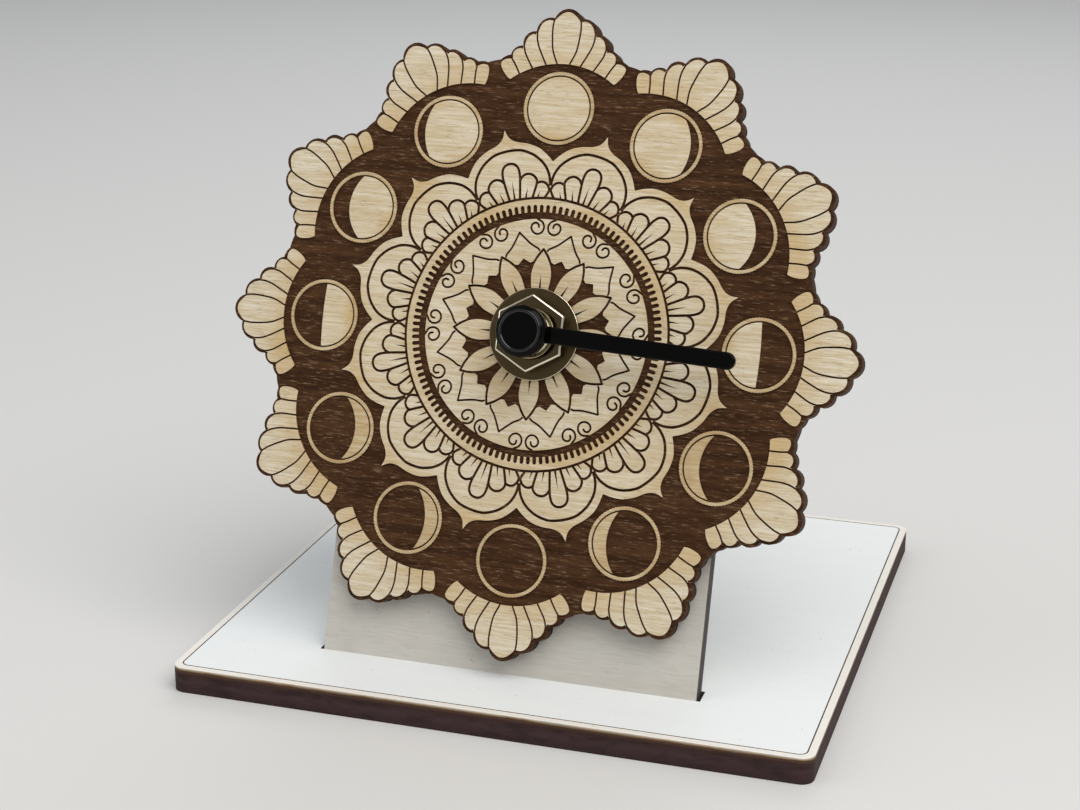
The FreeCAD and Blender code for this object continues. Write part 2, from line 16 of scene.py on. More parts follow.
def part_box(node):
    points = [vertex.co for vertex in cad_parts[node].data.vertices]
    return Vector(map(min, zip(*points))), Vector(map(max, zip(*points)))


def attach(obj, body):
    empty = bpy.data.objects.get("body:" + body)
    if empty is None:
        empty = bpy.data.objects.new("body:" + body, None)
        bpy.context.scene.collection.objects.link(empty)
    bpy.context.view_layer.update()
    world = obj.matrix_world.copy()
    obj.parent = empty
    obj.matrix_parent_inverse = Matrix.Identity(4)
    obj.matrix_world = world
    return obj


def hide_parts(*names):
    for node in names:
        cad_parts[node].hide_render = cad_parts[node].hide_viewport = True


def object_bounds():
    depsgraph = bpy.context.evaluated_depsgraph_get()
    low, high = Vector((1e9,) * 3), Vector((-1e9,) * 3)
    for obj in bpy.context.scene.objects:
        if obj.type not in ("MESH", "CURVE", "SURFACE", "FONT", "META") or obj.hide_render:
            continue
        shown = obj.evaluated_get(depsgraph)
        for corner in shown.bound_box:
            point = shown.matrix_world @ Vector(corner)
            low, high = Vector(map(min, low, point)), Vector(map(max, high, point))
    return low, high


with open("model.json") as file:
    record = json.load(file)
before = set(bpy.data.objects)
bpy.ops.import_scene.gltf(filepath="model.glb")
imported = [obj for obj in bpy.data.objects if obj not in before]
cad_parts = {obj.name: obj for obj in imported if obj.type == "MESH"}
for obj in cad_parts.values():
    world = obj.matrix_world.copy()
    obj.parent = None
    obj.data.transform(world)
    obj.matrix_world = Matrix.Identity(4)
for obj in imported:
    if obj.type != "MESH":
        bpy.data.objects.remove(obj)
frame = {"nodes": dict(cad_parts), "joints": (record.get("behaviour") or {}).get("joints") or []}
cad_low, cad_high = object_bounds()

# %% [markdown]
# The dial, the panel and all that they carry lean back together. It is far easier to draw them
# flat, in millimetres, with x to the right, y up the panel and z out of its front face. The hand's
# joint says where that face is and how it leans, so one matrix takes a flat drawing to its place.

# %% The leaning drawing board
MM = 0.001
hand_joint = next(j for j in frame["joints"] if j["name"] == "hand_turn")
outward = Vector(hand_joint["axis"])
rightward = Vector((1.0, 0.0, 0.0))
upward = outward.cross(rightward)
lean = Matrix((rightward, upward, outward)).transposed()
lean_angle = math.atan2(-outward.y, outward.z)
board_to_world = (Matrix.Translation(hand_joint["pos_m"]) @ lean.to_4x4() @ Matrix.Scale(MM, 4))
world_to_board = board_to_world.inverted()


def board_span(node):
    """The lowest and highest corner of a node in the leaning drawing's millimetres."""
    points = [world_to_board @ v.co for v in frame["nodes"][node].data.vertices]
    low = Vector([min(p[i] for p in points) for i in range(3)])
    high = Vector([max(p[i] for p in points) for i in range(3)])
    return low, high


def world_span(node):
    """The same in the upright frame, in millimetres."""
    low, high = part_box(node)
    return low / MM, high / MM


print("lean", round(90 - math.degrees(lean_angle), 2), "degrees from upright")

# %% [markdown]
# The camera stands to the clock's right and looks down at it. Its place, turn and lens were worked
# out from the photograph, so the frame has the same view. It has no depth of field.

# %% Camera
CAMERA_PLACE = Vector((110.95, -378.9, 173.85))
CAMERA_YAW = math.radians(17.2)
CAMERA_PITCH = math.radians(-18.17)
CAMERA_ROLL = math.radians(0.35)
CAMERA_LENS = 70.77

camera_data = bpy.data.cameras.new("camera")
camera_data.lens = CAMERA_LENS
camera_data.sensor_width = 36.0
camera_data.clip_start = 0.01
camera = bpy.data.objects.new("camera", camera_data)
bpy.context.scene.collection.objects.link(camera)
turn = (Matrix.Rotation(CAMERA_YAW, 3, "Z") @ Matrix.Rotation(math.pi / 2 + CAMERA_PITCH, 3, "X")
        @ Matrix.Rotation(CAMERA_ROLL, 3, "Z"))
camera.matrix_world = Matrix.Translation(CAMERA_PLACE * MM) @ turn.to_4x4()
bpy.context.scene.camera = camera

# %% [markdown]
# Light is soft and plain: a broad lamp high up on the right, weaker ones from the left and from
# behind, and an even pale surround. The view transform is Standard, so a colour shows about as it
# is written.

# %% Light, surround and floor
bpy.context.scene.view_settings.view_transform = "Standard"


def from_srgb(red, green, blue):
    """A colour written as a screen shows it, as the linear one that a shader wants."""
    def linear(value):
        share = value / 255
        return share / 12.92 if share <= 0.04045 else ((share + 0.055) / 1.055) ** 2.4
    return (linear(red), linear(green), linear(blue), 1.0)


def add(tree, kind, sockets=None, **options):
    """Place one shader node. A socket takes a plain value, or the output that feeds it."""
    node = tree.nodes.new(kind)
    for option, value in options.items():
        setattr(node, option, value)
    for socket, value in (sockets or {}).items():
        if isinstance(value, bpy.types.NodeSocket):
            tree.links.new(value, node.inputs[socket])
        else:
            node.inputs[socket].default_value = value
    return node


def soft_lamp(name, place, aim, size, power, colour):
    lamp_data = bpy.data.lights.new(name, "AREA")
    lamp_data.shape = "RECTANGLE"
    lamp_data.size, lamp_data.size_y = size
    lamp_data.energy = power
    lamp_data.color = colour
    lamp = bpy.data.objects.new(name, lamp_data)
    bpy.context.scene.collection.objects.link(lamp)
    facing = (Vector(aim) - Vector(place)).to_track_quat("-Z", "Y")
    lamp.matrix_world = Matrix.Translation(place) @ facing.to_matrix().to_4x4()


clock_middle = (cad_low + cad_high) / 2
soft_lamp("window", (0.42, -0.36, 0.92), clock_middle, (1.0, 0.9), 8.6, (1.0, 0.985, 0.955))
soft_lamp("bounce", (-0.80, -0.45, 0.50), clock_middle, (0.6, 0.6), 1.5, (0.93, 0.96, 1.0))
soft_lamp("back_glow", (-0.10, 0.80, 0.70), clock_middle, (0.8, 0.5), 1.8, (0.90, 0.95, 1.0))

world = bpy.data.worlds.new("surround")
world.use_nodes = True
bpy.context.scene.world = world
surround = world.node_tree.nodes["Background"]
surround.inputs["Color"].default_value = (0.93, 0.96, 1.0, 1.0)
surround.inputs["Strength"].default_value = 0.38


def new_finish(name):
    """A material with an empty board of nodes but for its shader."""
    material = bpy.data.materials.new(name)
    material.use_nodes = True
    return material, material.node_tree, material.node_tree.nodes["Principled BSDF"]


floor_finish, tree, shader = new_finish("pale_floor")
shader.inputs["Base Color"].default_value = from_srgb(222, 220, 217)
shader.inputs["Roughness"].default_value = 0.7
FLOOR_REACH = 6.0
floor_mesh = bmesh.new()
bmesh.ops.create_grid(floor_mesh, x_segments=1, y_segments=1, size=FLOOR_REACH)
floor_data = bpy.data.meshes.new("floor")
floor_mesh.to_mesh(floor_data)
floor_mesh.free()
floor = bpy.data.objects.new("floor", floor_data)
floor.data.materials.append(floor_finish)
bpy.context.scene.collection.objects.link(floor)

# %% [markdown]
# Wood's grain runs through the bare, the engraved and the painted finishes, so its streaks are a
# shared node group. Noise is squeezed across the grain and drawn out along it: the two counts say
# how many streaks a metre holds each way. The group gives only a mask, and each finish decides
# what that mask does.


# %% Shared group: streaks of wood
def build_streaks_group():
    group = bpy.data.node_groups.new("wood_streaks", "ShaderNodeTree")
    for name, kind in (("Place", "NodeSocketVector"), ("Along", "NodeSocketFloat"),
                       ("Across", "NodeSocketFloat"), ("Detail", "NodeSocketFloat")):
        group.interface.new_socket(name, in_out="INPUT", socket_type=kind)
    group.interface.new_socket("Mask", in_out="OUTPUT", socket_type="NodeSocketFloat")
    enter = add(group, "NodeGroupInput")
    stretch = add(group, "ShaderNodeCombineXYZ", {"X": enter.outputs["Along"],
                                                  "Y": enter.outputs["Across"],
                                                  "Z": enter.outputs["Across"]})
    squeezed = add(group, "ShaderNodeVectorMath", {0: enter.outputs["Place"],
                                                   1: stretch.outputs["Vector"]},
                   operation="MULTIPLY")
    noise = add(group, "ShaderNodeTexNoise", {"Vector": squeezed.outputs["Vector"], "Scale": 1.0,
                                              "Detail": enter.outputs["Detail"],
                                              "Roughness": 0.6})
    leave = add(group, "NodeGroupOutput")
    group.links.new(noise.outputs["Fac"], leave.inputs["Mask"])
    return group


streaks_group = build_streaks_group()


def streaks(tree, place, along, across, detail=3.0):
    """The mask of one set of streaks: runs a metre along the grain, and across it."""
    node = add(tree, "ShaderNodeGroup", node_tree=streaks_group)
    tree.links.new(place, node.inputs["Place"])
    node.inputs["Along"].default_value = along
    node.inputs["Across"].default_value = across
    node.inputs["Detail"].default_value = detail
    return node.outputs["Mask"]


def noise(tree, place, scale, detail):
    node = add(tree, "ShaderNodeTexNoise", {"Vector": place, "Scale": scale, "Detail": detail})
    return node.outputs["Fac"]


def spread(tree, value, start, end, low=0.0, high=1.0):
    """Where the value runs from start to end, let the result run evenly from low to high."""
    node = add(tree, "ShaderNodeMapRange", {"Value": value, "From Min": start, "From Max": end,
                                            "To Min": low, "To Max": high})
    return node.outputs["Result"]


def between(tree, mask, low, high):
    """Stretch a mask so that low becomes 0 and high becomes 1, with soft ends."""
    node = add(tree, "ShaderNodeMapRange", {"Value": mask, "From Min": low, "From Max": high},
               interpolation_type="SMOOTHSTEP")
    return node.outputs["Result"]


def blend_colour(tree, share, first, second):
    node = add(tree, "ShaderNodeMix", {"Factor": share, 6: first, 7: second}, data_type="RGBA")
    return node.outputs[2]


def multiply(tree, value, factor):
    return add(tree, "ShaderNodeMath", {0: value, 1: factor}, operation="MULTIPLY").outputs[0]


def fill_ramp(ramp, stops):
    """Give a colour ramp its stops, each a place from 0 to 1 and a colour."""
    elements = ramp.color_ramp.elements
    for element, (position, colour) in zip(elements, (stops[0], stops[-1])):
        element.position = position
        element.color = colour
    for position, colour in stops[1:-1]:
        elements.new(position).color = colour


def relief(tree, shader, height, strength, distance):
    """Let a mask raise the surface a little."""
    bump = add(tree, "ShaderNodeBump", {"Height": height, "Strength": strength,
                                        "Distance": distance})
    tree.links.new(bump.outputs["Normal"], shader.inputs["Normal"])


def object_place(tree, turned=0.0):
    """Object coordinates, turned about x so that a pattern can follow the leaning wood."""
    place = add(tree, "ShaderNodeTexCoord")
    mapping = add(tree, "ShaderNodeMapping", {"Vector": place.outputs["Object"],
                                              "Rotation": (-turned, 0.0, 0.0)})
    return mapping.outputs["Vector"]


# %% [markdown]
# The light wood is birch veneer: cream, with fine fibres and short darker pores. Smoke from the
# engraving has toasted it where much wood was burnt away beside it, so how brown it is depends on
# how far out it lies: the petals' tips, the moons and the fans' feet are the most toasted.


# %% Finish: pale birch
TOAST = [(0.0, 0.50), (12.0, 0.44), (16.0, 0.20), (20.0, 0.20), (22.5, 0.62), (25.0, 0.50),
         (26.5, 0.16), (33.0, 0.30), (36.0, 0.70), (38.0, 0.28), (45.0, 0.26), (47.5, 0.60),
         (50.5, 0.52), (53.5, 0.18), (57.5, 0.08), (59.5, 0.36)]
TOAST_REACH = 60.0


def toast_by_radius(tree, place):
    """How toasted the dial's wood is at each distance from its axis."""
    centre = lean.inverted() @ Vector(hand_joint["pos_m"])
    offset = add(tree, "ShaderNodeVectorMath", {0: place, 1: centre}, operation="SUBTRACT")
    share = 1 / (MM * TOAST_REACH)
    flat = add(tree, "ShaderNodeVectorMath", {0: offset.outputs[0], 1: (share, share, 0.0)},
               operation="MULTIPLY")
    radius = add(tree, "ShaderNodeVectorMath", {0: flat.outputs[0]}, operation="LENGTH")
    ramp = add(tree, "ShaderNodeValToRGB", {"Fac": radius.outputs["Value"]})
    fill_ramp(ramp, [(distance / TOAST_REACH, (toast, toast, toast, 1.0))
                     for distance, toast in TOAST])
    return ramp.outputs["Color"]


def birch_finish(name, cream, shade, toasted, toast):
    """Toast is one share for the whole piece, or None to follow the dial's radius."""
    material, tree, shader = new_finish(name)
    shader.inputs["Specular IOR Level"].default_value = 0.25
    place = object_place(tree, lean_angle)
    fibres = streaks(tree, place, 150.0, 2600.0, 4.0)
    bands = streaks(tree, place, 22.0, 420.0)
    pores = between(tree, streaks(tree, place, 520.0, 4200.0, 1.0), 0.60, 0.72)
    patches = add(tree, "ShaderNodeTexNoise", {"Vector": place, "Scale": 70.0, "Detail": 3.0,
                                               "Roughness": 0.55})
    uneven = spread(tree, patches.outputs["Fac"], 0.30, 0.70, 0.45, 1.35)
    colour = blend_colour(tree, between(tree, fibres, 0.34, 0.68), cream, shade)
    tan = multiply(tree, between(tree, bands, 0.40, 0.75), 0.40)
    colour = blend_colour(tree, tan, colour, shade)
    amount = toast_by_radius(tree, place) if toast is None else toast
    colour = blend_colour(tree, multiply(tree, uneven, amount), colour, toasted)
    colour = blend_colour(tree, multiply(tree, pores, 0.40), colour, from_srgb(146, 116, 78))
    tree.links.new(colour, shader.inputs["Base Color"])
    rough = spread(tree, fibres, 0.0, 1.0, 0.52, 0.74)
    tree.links.new(rough, shader.inputs["Roughness"])
    relief(tree, shader, fibres, 0.70, 0.0003)
    return material


dial_birch = birch_finish("dial_birch", from_srgb(232, 223, 203), from_srgb(206, 189, 156),
                          from_srgb(196, 162, 102), None)
ring_birch = birch_finish("ring_birch", from_srgb(226, 210, 172), from_srgb(200, 172, 126),
                          from_srgb(150, 112, 68), 0.36)
plain_birch = birch_finish("plain_birch", from_srgb(222, 203, 168), from_srgb(203, 178, 138),
                           from_srgb(196, 166, 120), 0.35)

# %% [markdown]
# The engraved ground is wood burnt down by a beam that sweeps from side to side. It is dark brown,
# with short lighter flecks along the sweep where the fibres resisted, and it is quite rough.


# %% Finish: engraved ground
def engraved_finish():
    material, tree, shader = new_finish("engraved_ground")
    place = object_place(tree, lean_angle)
    flecks = streaks(tree, place, 520.0, 3600.0, 4.0)
    bands = streaks(tree, place, 60.0, 700.0)
    colour = blend_colour(tree, between(tree, bands, 0.30, 0.70), from_srgb(57, 36, 21),
                          from_srgb(80, 53, 33))
    light = multiply(tree, between(tree, flecks, 0.55, 0.72), 0.72)
    colour = blend_colour(tree, light, colour, from_srgb(142, 114, 88))
    dark = multiply(tree, between(tree, flecks, 0.46, 0.28), 0.7)
    colour = blend_colour(tree, dark, colour, from_srgb(32, 18, 10))
    tree.links.new(colour, shader.inputs["Base Color"])
    shader.inputs["Roughness"].default_value = 0.85
    shader.inputs["Specular IOR Level"].default_value = 0.08
    relief(tree, shader, flecks, 0.5, 0.0003)
    return material


engraved_ground = engraved_finish()

# %% [markdown]
# A laser leaves the cut edge of plywood charred. Its layers still show: brown near the face, a thin
# paler glue line, and nearly black below. A ramp along the board's thickness lays them out. Soot
# lies in streaks along the layers, and the same streaks make the bounds between them uneven.


# %% Finish: charred edges
SOOT_SCALE = 900.0
SOOT_STRETCH = (0.3, 0.3, 1.0)
LAYER_WAVE = 0.16          # as a share of the board's thickness


def charred_finish(name, turned, back, thickness, stops):
    """Stops are (share of the thickness from the board's back, colour)."""
    material, tree, shader = new_finish(name)
    place = object_place(tree, turned)
    parts = add(tree, "ShaderNodeSeparateXYZ", {"Vector": place})
    depth = spread(tree, parts.outputs["Z"], back, back + thickness)
    ramp = add(tree, "ShaderNodeValToRGB")
    fill_ramp(ramp, stops)
    stretched = add(tree, "ShaderNodeVectorMath", {0: place, 1: SOOT_STRETCH},
                    operation="MULTIPLY")
    flakes = noise(tree, stretched.outputs[0], SOOT_SCALE, 3.0)
    uneven = add(tree, "ShaderNodeMath", {0: flakes, 1: LAYER_WAVE, 2: depth},
                 operation="MULTIPLY_ADD")
    centred = add(tree, "ShaderNodeMath", {0: uneven.outputs[0], 1: LAYER_WAVE / 2},
                  operation="SUBTRACT")
    tree.links.new(centred.outputs[0], ramp.inputs["Fac"])
    soot = multiply(tree, between(tree, flakes, 0.42, 0.70), 0.45)
    colour = blend_colour(tree, soot, ramp.outputs["Color"], from_srgb(34, 24, 22))
    tree.links.new(colour, shader.inputs["Base Color"])
    shader.inputs["Roughness"].default_value = 0.65
    shader.inputs["Specular IOR Level"].default_value = 0.12
    relief(tree, shader, flakes, 0.15, 0.0001)
    return material


face_plane = (lean.inverted() @ Vector(hand_joint["pos_m"])).z
dial_high = board_span("dial_plate")[1]
dial_edge = charred_finish(
    "dial_edge", lean_angle, face_plane, dial_high.z * MM,
    [(0.0, from_srgb(40, 28, 24)), (0.36, from_srgb(52, 36, 30)), (0.42, from_srgb(120, 88, 58)),
     (0.50, from_srgb(62, 41, 29)), (0.90, from_srgb(78, 52, 34))])
toasted_wall = charred_finish(
    "toasted_wall", lean_angle, face_plane, dial_high.z * MM,
    [(0.88, from_srgb(96, 62, 36)), (0.95, from_srgb(126, 88, 52)), (1.0, from_srgb(166, 126, 78))])
panel_low, panel_high = board_span("upright_panel")
base_high = world_span("base_plate")[1]
base_edge = charred_finish(
    "base_edge", 0.0, 0.0, base_high.z * MM,
    [(0.0, from_srgb(58, 42, 44)), (0.45, from_srgb(70, 51, 53)), (0.74, from_srgb(62, 44, 42)),
     (0.88, from_srgb(92, 68, 50)), (0.94, from_srgb(176, 152, 122)),
     (1.0, from_srgb(232, 220, 202))])
panel_edge = charred_finish(
    "panel_edge", lean_angle, face_plane + panel_low.z * MM, -panel_low.z * MM,
    [(0.0, from_srgb(66, 58, 56)), (0.30, from_srgb(96, 90, 88)), (0.55, from_srgb(72, 66, 66)),
     (0.85, from_srgb(92, 86, 82)), (1.0, from_srgb(122, 112, 102))])
scorched_line = charred_finish(
    "scorched_line", 0.0, 0.0, base_high.z * MM,
    [(0.0, from_srgb(84, 68, 56)), (1.0, from_srgb(104, 88, 74))])

# %% [markdown]
# The base and the panel are the same birch under one thin coat of white paint. The grain still
# stands out as fine lines, more so on the panel, and a few specks of dust sit in the paint. Beside
# the cuts the coat turns a little cream. The panel's copy of the paint is written darker and browner
# than the base's: painted shade, for the dial's shadow on the panel and its lean away from the
# light.


# %% Finish: white paint
def paint_finish(name, colour, tint, grain, length, turned):
    material, tree, shader = new_finish(name)
    place = object_place(tree, turned)
    lines = streaks(tree, place, length, 2400.0, 4.0)
    bands = streaks(tree, place, 12.0, 240.0)
    fine = multiply(tree, between(tree, lines, 0.38, 0.78), grain)
    broad = multiply(tree, between(tree, bands, 0.40, 0.75), grain * 0.5)
    shade = blend_colour(tree, fine, colour, tint)
    shade = blend_colour(tree, broad, shade, tint)
    dust = noise(tree, place, 1400.0, 0.0)
    specks = multiply(tree, between(tree, dust, 0.83, 0.88), 0.4)
    shade = blend_colour(tree, specks, shade, from_srgb(120, 112, 104))
    tree.links.new(shade, shader.inputs["Base Color"])
    shader.inputs["Roughness"].default_value = 0.50
    shader.inputs["Specular IOR Level"].default_value = 0.30
    relief(tree, shader, lines, 0.3 * grain, 0.00015)
    return material


base_white = paint_finish("base_white", from_srgb(238, 240, 239), from_srgb(226, 228, 225), 0.25,
                          200.0, 0.0)
margin_white = paint_finish("margin_white", from_srgb(240, 235, 227), from_srgb(230, 221, 207),
                            0.5, 200.0, 0.0)
# painted shade: the panel's paint is darker and browner than the base's, standing for the dial's
# shadow and the panel's lean
panel_white_painted_shade = paint_finish("panel_white_painted_shade", from_srgb(203, 199, 190), from_srgb(172, 163, 150), 0.4,
                           240.0, lean_angle)


# %% [markdown]
# The metal and plastic finishes have little colour of their own. What tells them apart is how
# sharply they reflect, and the faint unevenness that a real surface has. The nickel is the
# exception: a dark copy whose colour is a painted dark reflection on the nut's and washer's faces,
# and a bright copy that is a painted highlight on the nut's bevels and the washer's rim. The hub's
# rim likewise has a lighter, glossier copy of the black as a painted highlight.


# %% Finishes: nickel, black plastic and the rest
def smooth_finish(name, colour, metallic, roughness, wear_scale, wear, specular=0.5, grain=0.05):
    """A plain finish whose gloss varies a little, as handling and moulding leave it. Grain says
    how rough the mould's own surface was."""
    material, tree, shader = new_finish(name)
    place = object_place(tree)
    handled = noise(tree, place, wear_scale, 3.0)
    darker = tuple(c * 0.6 for c in colour[:3]) + (1.0,)
    tone = blend_colour(tree, multiply(tree, handled, 0.25), colour, darker)
    tree.links.new(tone, shader.inputs["Base Color"])
    gloss = spread(tree, handled, 0.3, 0.7, roughness - wear, roughness + wear)
    tree.links.new(gloss, shader.inputs["Roughness"])
    shader.inputs["Metallic"].default_value = metallic
    shader.inputs["Specular IOR Level"].default_value = specular
    relief(tree, shader, handled, grain, 0.0001)
    return material


# painted reflection: the nut's nickel is written dark to show dark reflections on its faces
nickel_painted_dark_reflection = smooth_finish("nickel_painted_dark_reflection", from_srgb(106, 88, 60), 1.0, 0.16, 700.0, 0.05)
# painted highlight: a much brighter copy of the nickel, for the bevels and rims that catch the light
nickel_painted_highlight = smooth_finish("nickel_painted_highlight", from_srgb(244, 237, 218), 1.0, 0.15, 700.0, 0.04)
# painted reflection: the washer's nickel is written dark to show dark reflections on its face
washer_nickel_painted_dark_reflection = smooth_finish("washer_nickel_painted_dark_reflection", from_srgb(98, 82, 56), 1.0, 0.26, 900.0, 0.07)
thread_nickel = smooth_finish("thread_nickel", from_srgb(214, 203, 178), 1.0, 0.20, 900.0, 0.06)
gloss_black = smooth_finish("gloss_black", from_srgb(6, 5, 4), 0.0, 0.16, 500.0, 0.04, 0.10)
# painted highlight: a lighter, glossier copy of the hub's black, for the cap's rim
hub_rim_painted_highlight = smooth_finish("hub_rim_painted_highlight", from_srgb(14, 13, 12), 0.0, 0.12, 500.0, 0.03, 0.6)
case_plastic = smooth_finish("case_plastic", from_srgb(36, 36, 37), 0.0, 0.46, 2400.0, 0.08,
                             grain=0.6)
knob_plastic = smooth_finish("knob_plastic", from_srgb(46, 46, 47), 0.0, 0.34, 1200.0, 0.06)
bare_steel = smooth_finish("bare_steel", from_srgb(190, 190, 188), 1.0, 0.28, 900.0, 0.08)
brass = smooth_finish("brass", from_srgb(200, 168, 98), 1.0, 0.25, 900.0, 0.07)
white_plastic = smooth_finish("white_plastic", from_srgb(232, 230, 222), 0.0, 0.42, 1200.0, 0.06)
gasket_rubber = smooth_finish("gasket_rubber", from_srgb(26, 26, 26), 0.0, 0.7, 1500.0, 0.08,
                              grain=0.3)
board_green = smooth_finish("board_green", from_srgb(28, 92, 58), 0.0, 0.35, 800.0, 0.06)
chip_black = smooth_finish("chip_black", from_srgb(22, 22, 22), 0.0, 0.35, 900.0, 0.06)
copper_wire = smooth_finish("copper_wire", from_srgb(176, 96, 52), 1.0, 0.34, 3000.0, 0.08)
battery_wrap = smooth_finish("battery_wrap", from_srgb(30, 66, 58), 0.0, 0.22, 600.0, 0.05)
battery_band = smooth_finish("battery_band", from_srgb(190, 192, 188), 0.6, 0.28, 600.0, 0.05)
magnet_iron = smooth_finish("magnet_iron", from_srgb(84, 82, 80), 0.8, 0.4, 900.0, 0.08)


# %% [markdown]
# Everything flat is drawn the same way. A stretch of outline is a few points that a smooth line
# runs through, or an arc. Stretches join at corners into a loop, the loop becomes a face, and the
# face is given its thickness. What repeats is spun round the dial's centre.


# %% Drawing helpers
SAME_POINT = 1e-4
LEVEL = 0.01


def flow(points, steps=4):
    """A smooth line through the points, with a few more points between each two."""
    points = [Vector(p) for p in points]
    if len(points) < 3:
        return points
    ends = [points[0] * 2 - points[1]] + points + [points[-1] * 2 - points[-2]]
    line = []
    for before, start, end, after in zip(ends, ends[1:], ends[2:], ends[3:]):
        for step in range(steps):
            t = step / steps
            line.append(0.5 * (2 * start + (end - before) * t
                               + (2 * before - 5 * start + 4 * end - after) * t * t
                               + (3 * start - before - 3 * end + after) * t * t * t))
    return line + [points[-1]]


def arc_about(centre, radius, first, last, steps):
    """Points on an arc from one angle to another, in degrees from the x axis."""
    angles = [math.radians(first + (last - first) * i / steps) for i in range(steps + 1)]
    return [Vector((centre[0] + radius * math.cos(a), centre[1] + radius * math.sin(a)))
            for a in angles]


def arc_through(a, b, c, steps=6):
    """Points on the arc from a to c that passes through b."""
    a, b, c = Vector(a), Vector(b), Vector(c)
    p, q = b - a, c - a
    cross = 2 * (p.x * q.y - p.y * q.x)
    if abs(cross) < 1e-6:
        return [a, c]
    centre = a + Vector((q.y * p.length_squared - p.y * q.length_squared,
                         p.x * q.length_squared - q.x * p.length_squared)) / cross
    first = math.degrees(math.atan2(a.y - centre.y, a.x - centre.x))
    last = math.degrees(math.atan2(c.y - centre.y, c.x - centre.x))
    if cross > 0 and last < first:
        last += 360
    if cross < 0 and last > first:
        last -= 360
    return arc_about(centre, (a - centre).length, first, last, steps)


def beside(points, gap):
    """The same line moved sideways: to its left for a positive gap."""
    points = [Vector(p) for p in points]
    moved = []
    for i, point in enumerate(points):
        along = (points[min(i + 1, len(points) - 1)] - points[max(i - 1, 0)]).normalized()
        moved.append(point + gap * Vector((-along.y, along.x)))
    return moved


def mirrored(points):
    """The line's reflection in the y axis, run backwards so that loops keep their sense."""
    return [Vector((-p[0], p[1])) for p in reversed(points)]


def turned_by(points, degrees):
    spin = Matrix.Rotation(math.radians(degrees), 2)
    return [spin @ Vector(p) for p in points]


def shifted(points, x, y):
    return [Vector((p[0] + x, p[1] + y)) for p in points]


def draw(bm, loop):
    """Add a loop to a flat drawing as one face, leaving out points that repeat."""
    kept = []
    for point in loop:
        if not kept or (point - kept[-1]).length > SAME_POINT:
            kept.append(point)
    if (kept[0] - kept[-1]).length < SAME_POINT:
        kept.pop()
    bm.faces.new([bm.verts.new((p.x, p.y, 0.0)) for p in kept])


def spin_round(bm, count):
    """Repeat the whole drawing round the dial's centre."""
    bmesh.ops.spin(bm, geom=bm.verts[:] + bm.edges[:] + bm.faces[:], cent=(0, 0, 0),
                   axis=(0, 0, -1), angle=2 * math.pi * (count - 1) / count, steps=count - 1,
                   use_duplicate=True)


def raise_faces(bm, faces, height):
    """Pull flat faces up into solids. Their undersides stay where they are."""
    made = bmesh.ops.extrude_face_region(bm, geom=faces, use_keep_orig=True)
    raised = [g for g in made["geom"] if isinstance(g, bmesh.types.BMVert)]
    bmesh.ops.translate(bm, vec=(0, 0, height), verts=raised)


def soften(bm, edges, offset, segments, clamp=False):
    """Take the sharpness off some edges. The new faces get their neighbours' finish."""
    bmesh.ops.bevel(bm, geom=edges, offset=offset, segments=segments, profile=0.5,
                    affect="EDGES", material=-1, clamp_overlap=clamp)


def thicken(bm, low, high, chamfer=0.0):
    """Give a flat drawing its thickness and take the sharpness off its upper edges."""
    bmesh.ops.remove_doubles(bm, verts=bm.verts[:], dist=0.002)
    bmesh.ops.translate(bm, vec=(0, 0, low), verts=bm.verts[:])
    raise_faces(bm, bm.faces[:], high - low)
    bmesh.ops.recalc_face_normals(bm, faces=bm.faces[:])
    if chamfer:
        rims = [e for e in bm.edges if all(v.co.z > high - 1e-5 for v in e.verts)
                and any(abs(f.normal.z) < 0.5 for f in e.link_faces)]
        soften(bm, rims, chamfer, 1, clamp=True)


def is_level(edge):
    return abs(edge.verts[0].co.z - edge.verts[1].co.z) < LEVEL


def join_into(bm, other):
    """Add another drawing's faces to this one."""
    data = bpy.data.meshes.new("joined")
    other.to_mesh(data)
    other.free()
    bm.from_mesh(data)
    bpy.data.meshes.remove(data)


def finished(bm, name, body, finishes, to_world=board_to_world, smooth_under=None):
    """Turn a drawing into a piece of the clock, in its place and riding on its body."""
    bmesh.ops.transform(bm, matrix=to_world, verts=bm.verts[:])
    data = bpy.data.meshes.new(name)
    bm.to_mesh(data)
    bm.free()
    piece = bpy.data.objects.new(name, data)
    bpy.context.scene.collection.objects.link(piece)
    for finish in finishes:
        data.materials.append(finish)
    if smooth_under is not None:
        data.polygons.foreach_set("use_smooth", [True] * len(data.polygons))
        data.set_sharp_from_angle(angle=math.radians(smooth_under))
    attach(piece, body)
    print(name, len(data.polygons), "faces")
    return piece


# %% [markdown]
# ## The carved dial
# The real dial is one board of plywood. Its outline is cut right through, and the beam then takes
# the top 0.4 mm off everything that should be dark, so the light parts stand up like islands. Here
# the ground is one plate with the outline, and each family of islands is laid on it, a hair deep.

# %% Sizes of the dial
PHASES = 12
STEP = 360 / PHASES
CARVED = 0.4
SUNK = 0.05
CHAMFER = 0.08
MOON_CIRCLE_R = 41.5
dial_front = dial_high.z
ground_z = dial_front - CARVED
island_z = ground_z - SUNK
BUSHING_HOLE_R = 4.1


def paint_islands(bm):
    """The tops of the islands get finish 0, and their walls and undersides finish 1."""
    for face in bm.faces:
        on_top = face.normal.z > 0.7 and face.calc_center_median().z > ground_z
        face.material_index = 0 if on_top else 1


# %% [markdown]
# The outline follows twelve shell fans. Half a fan is a row of crowns and notches, measured from
# the middle of its moon, and each arc runs from notch to notch over a crown.

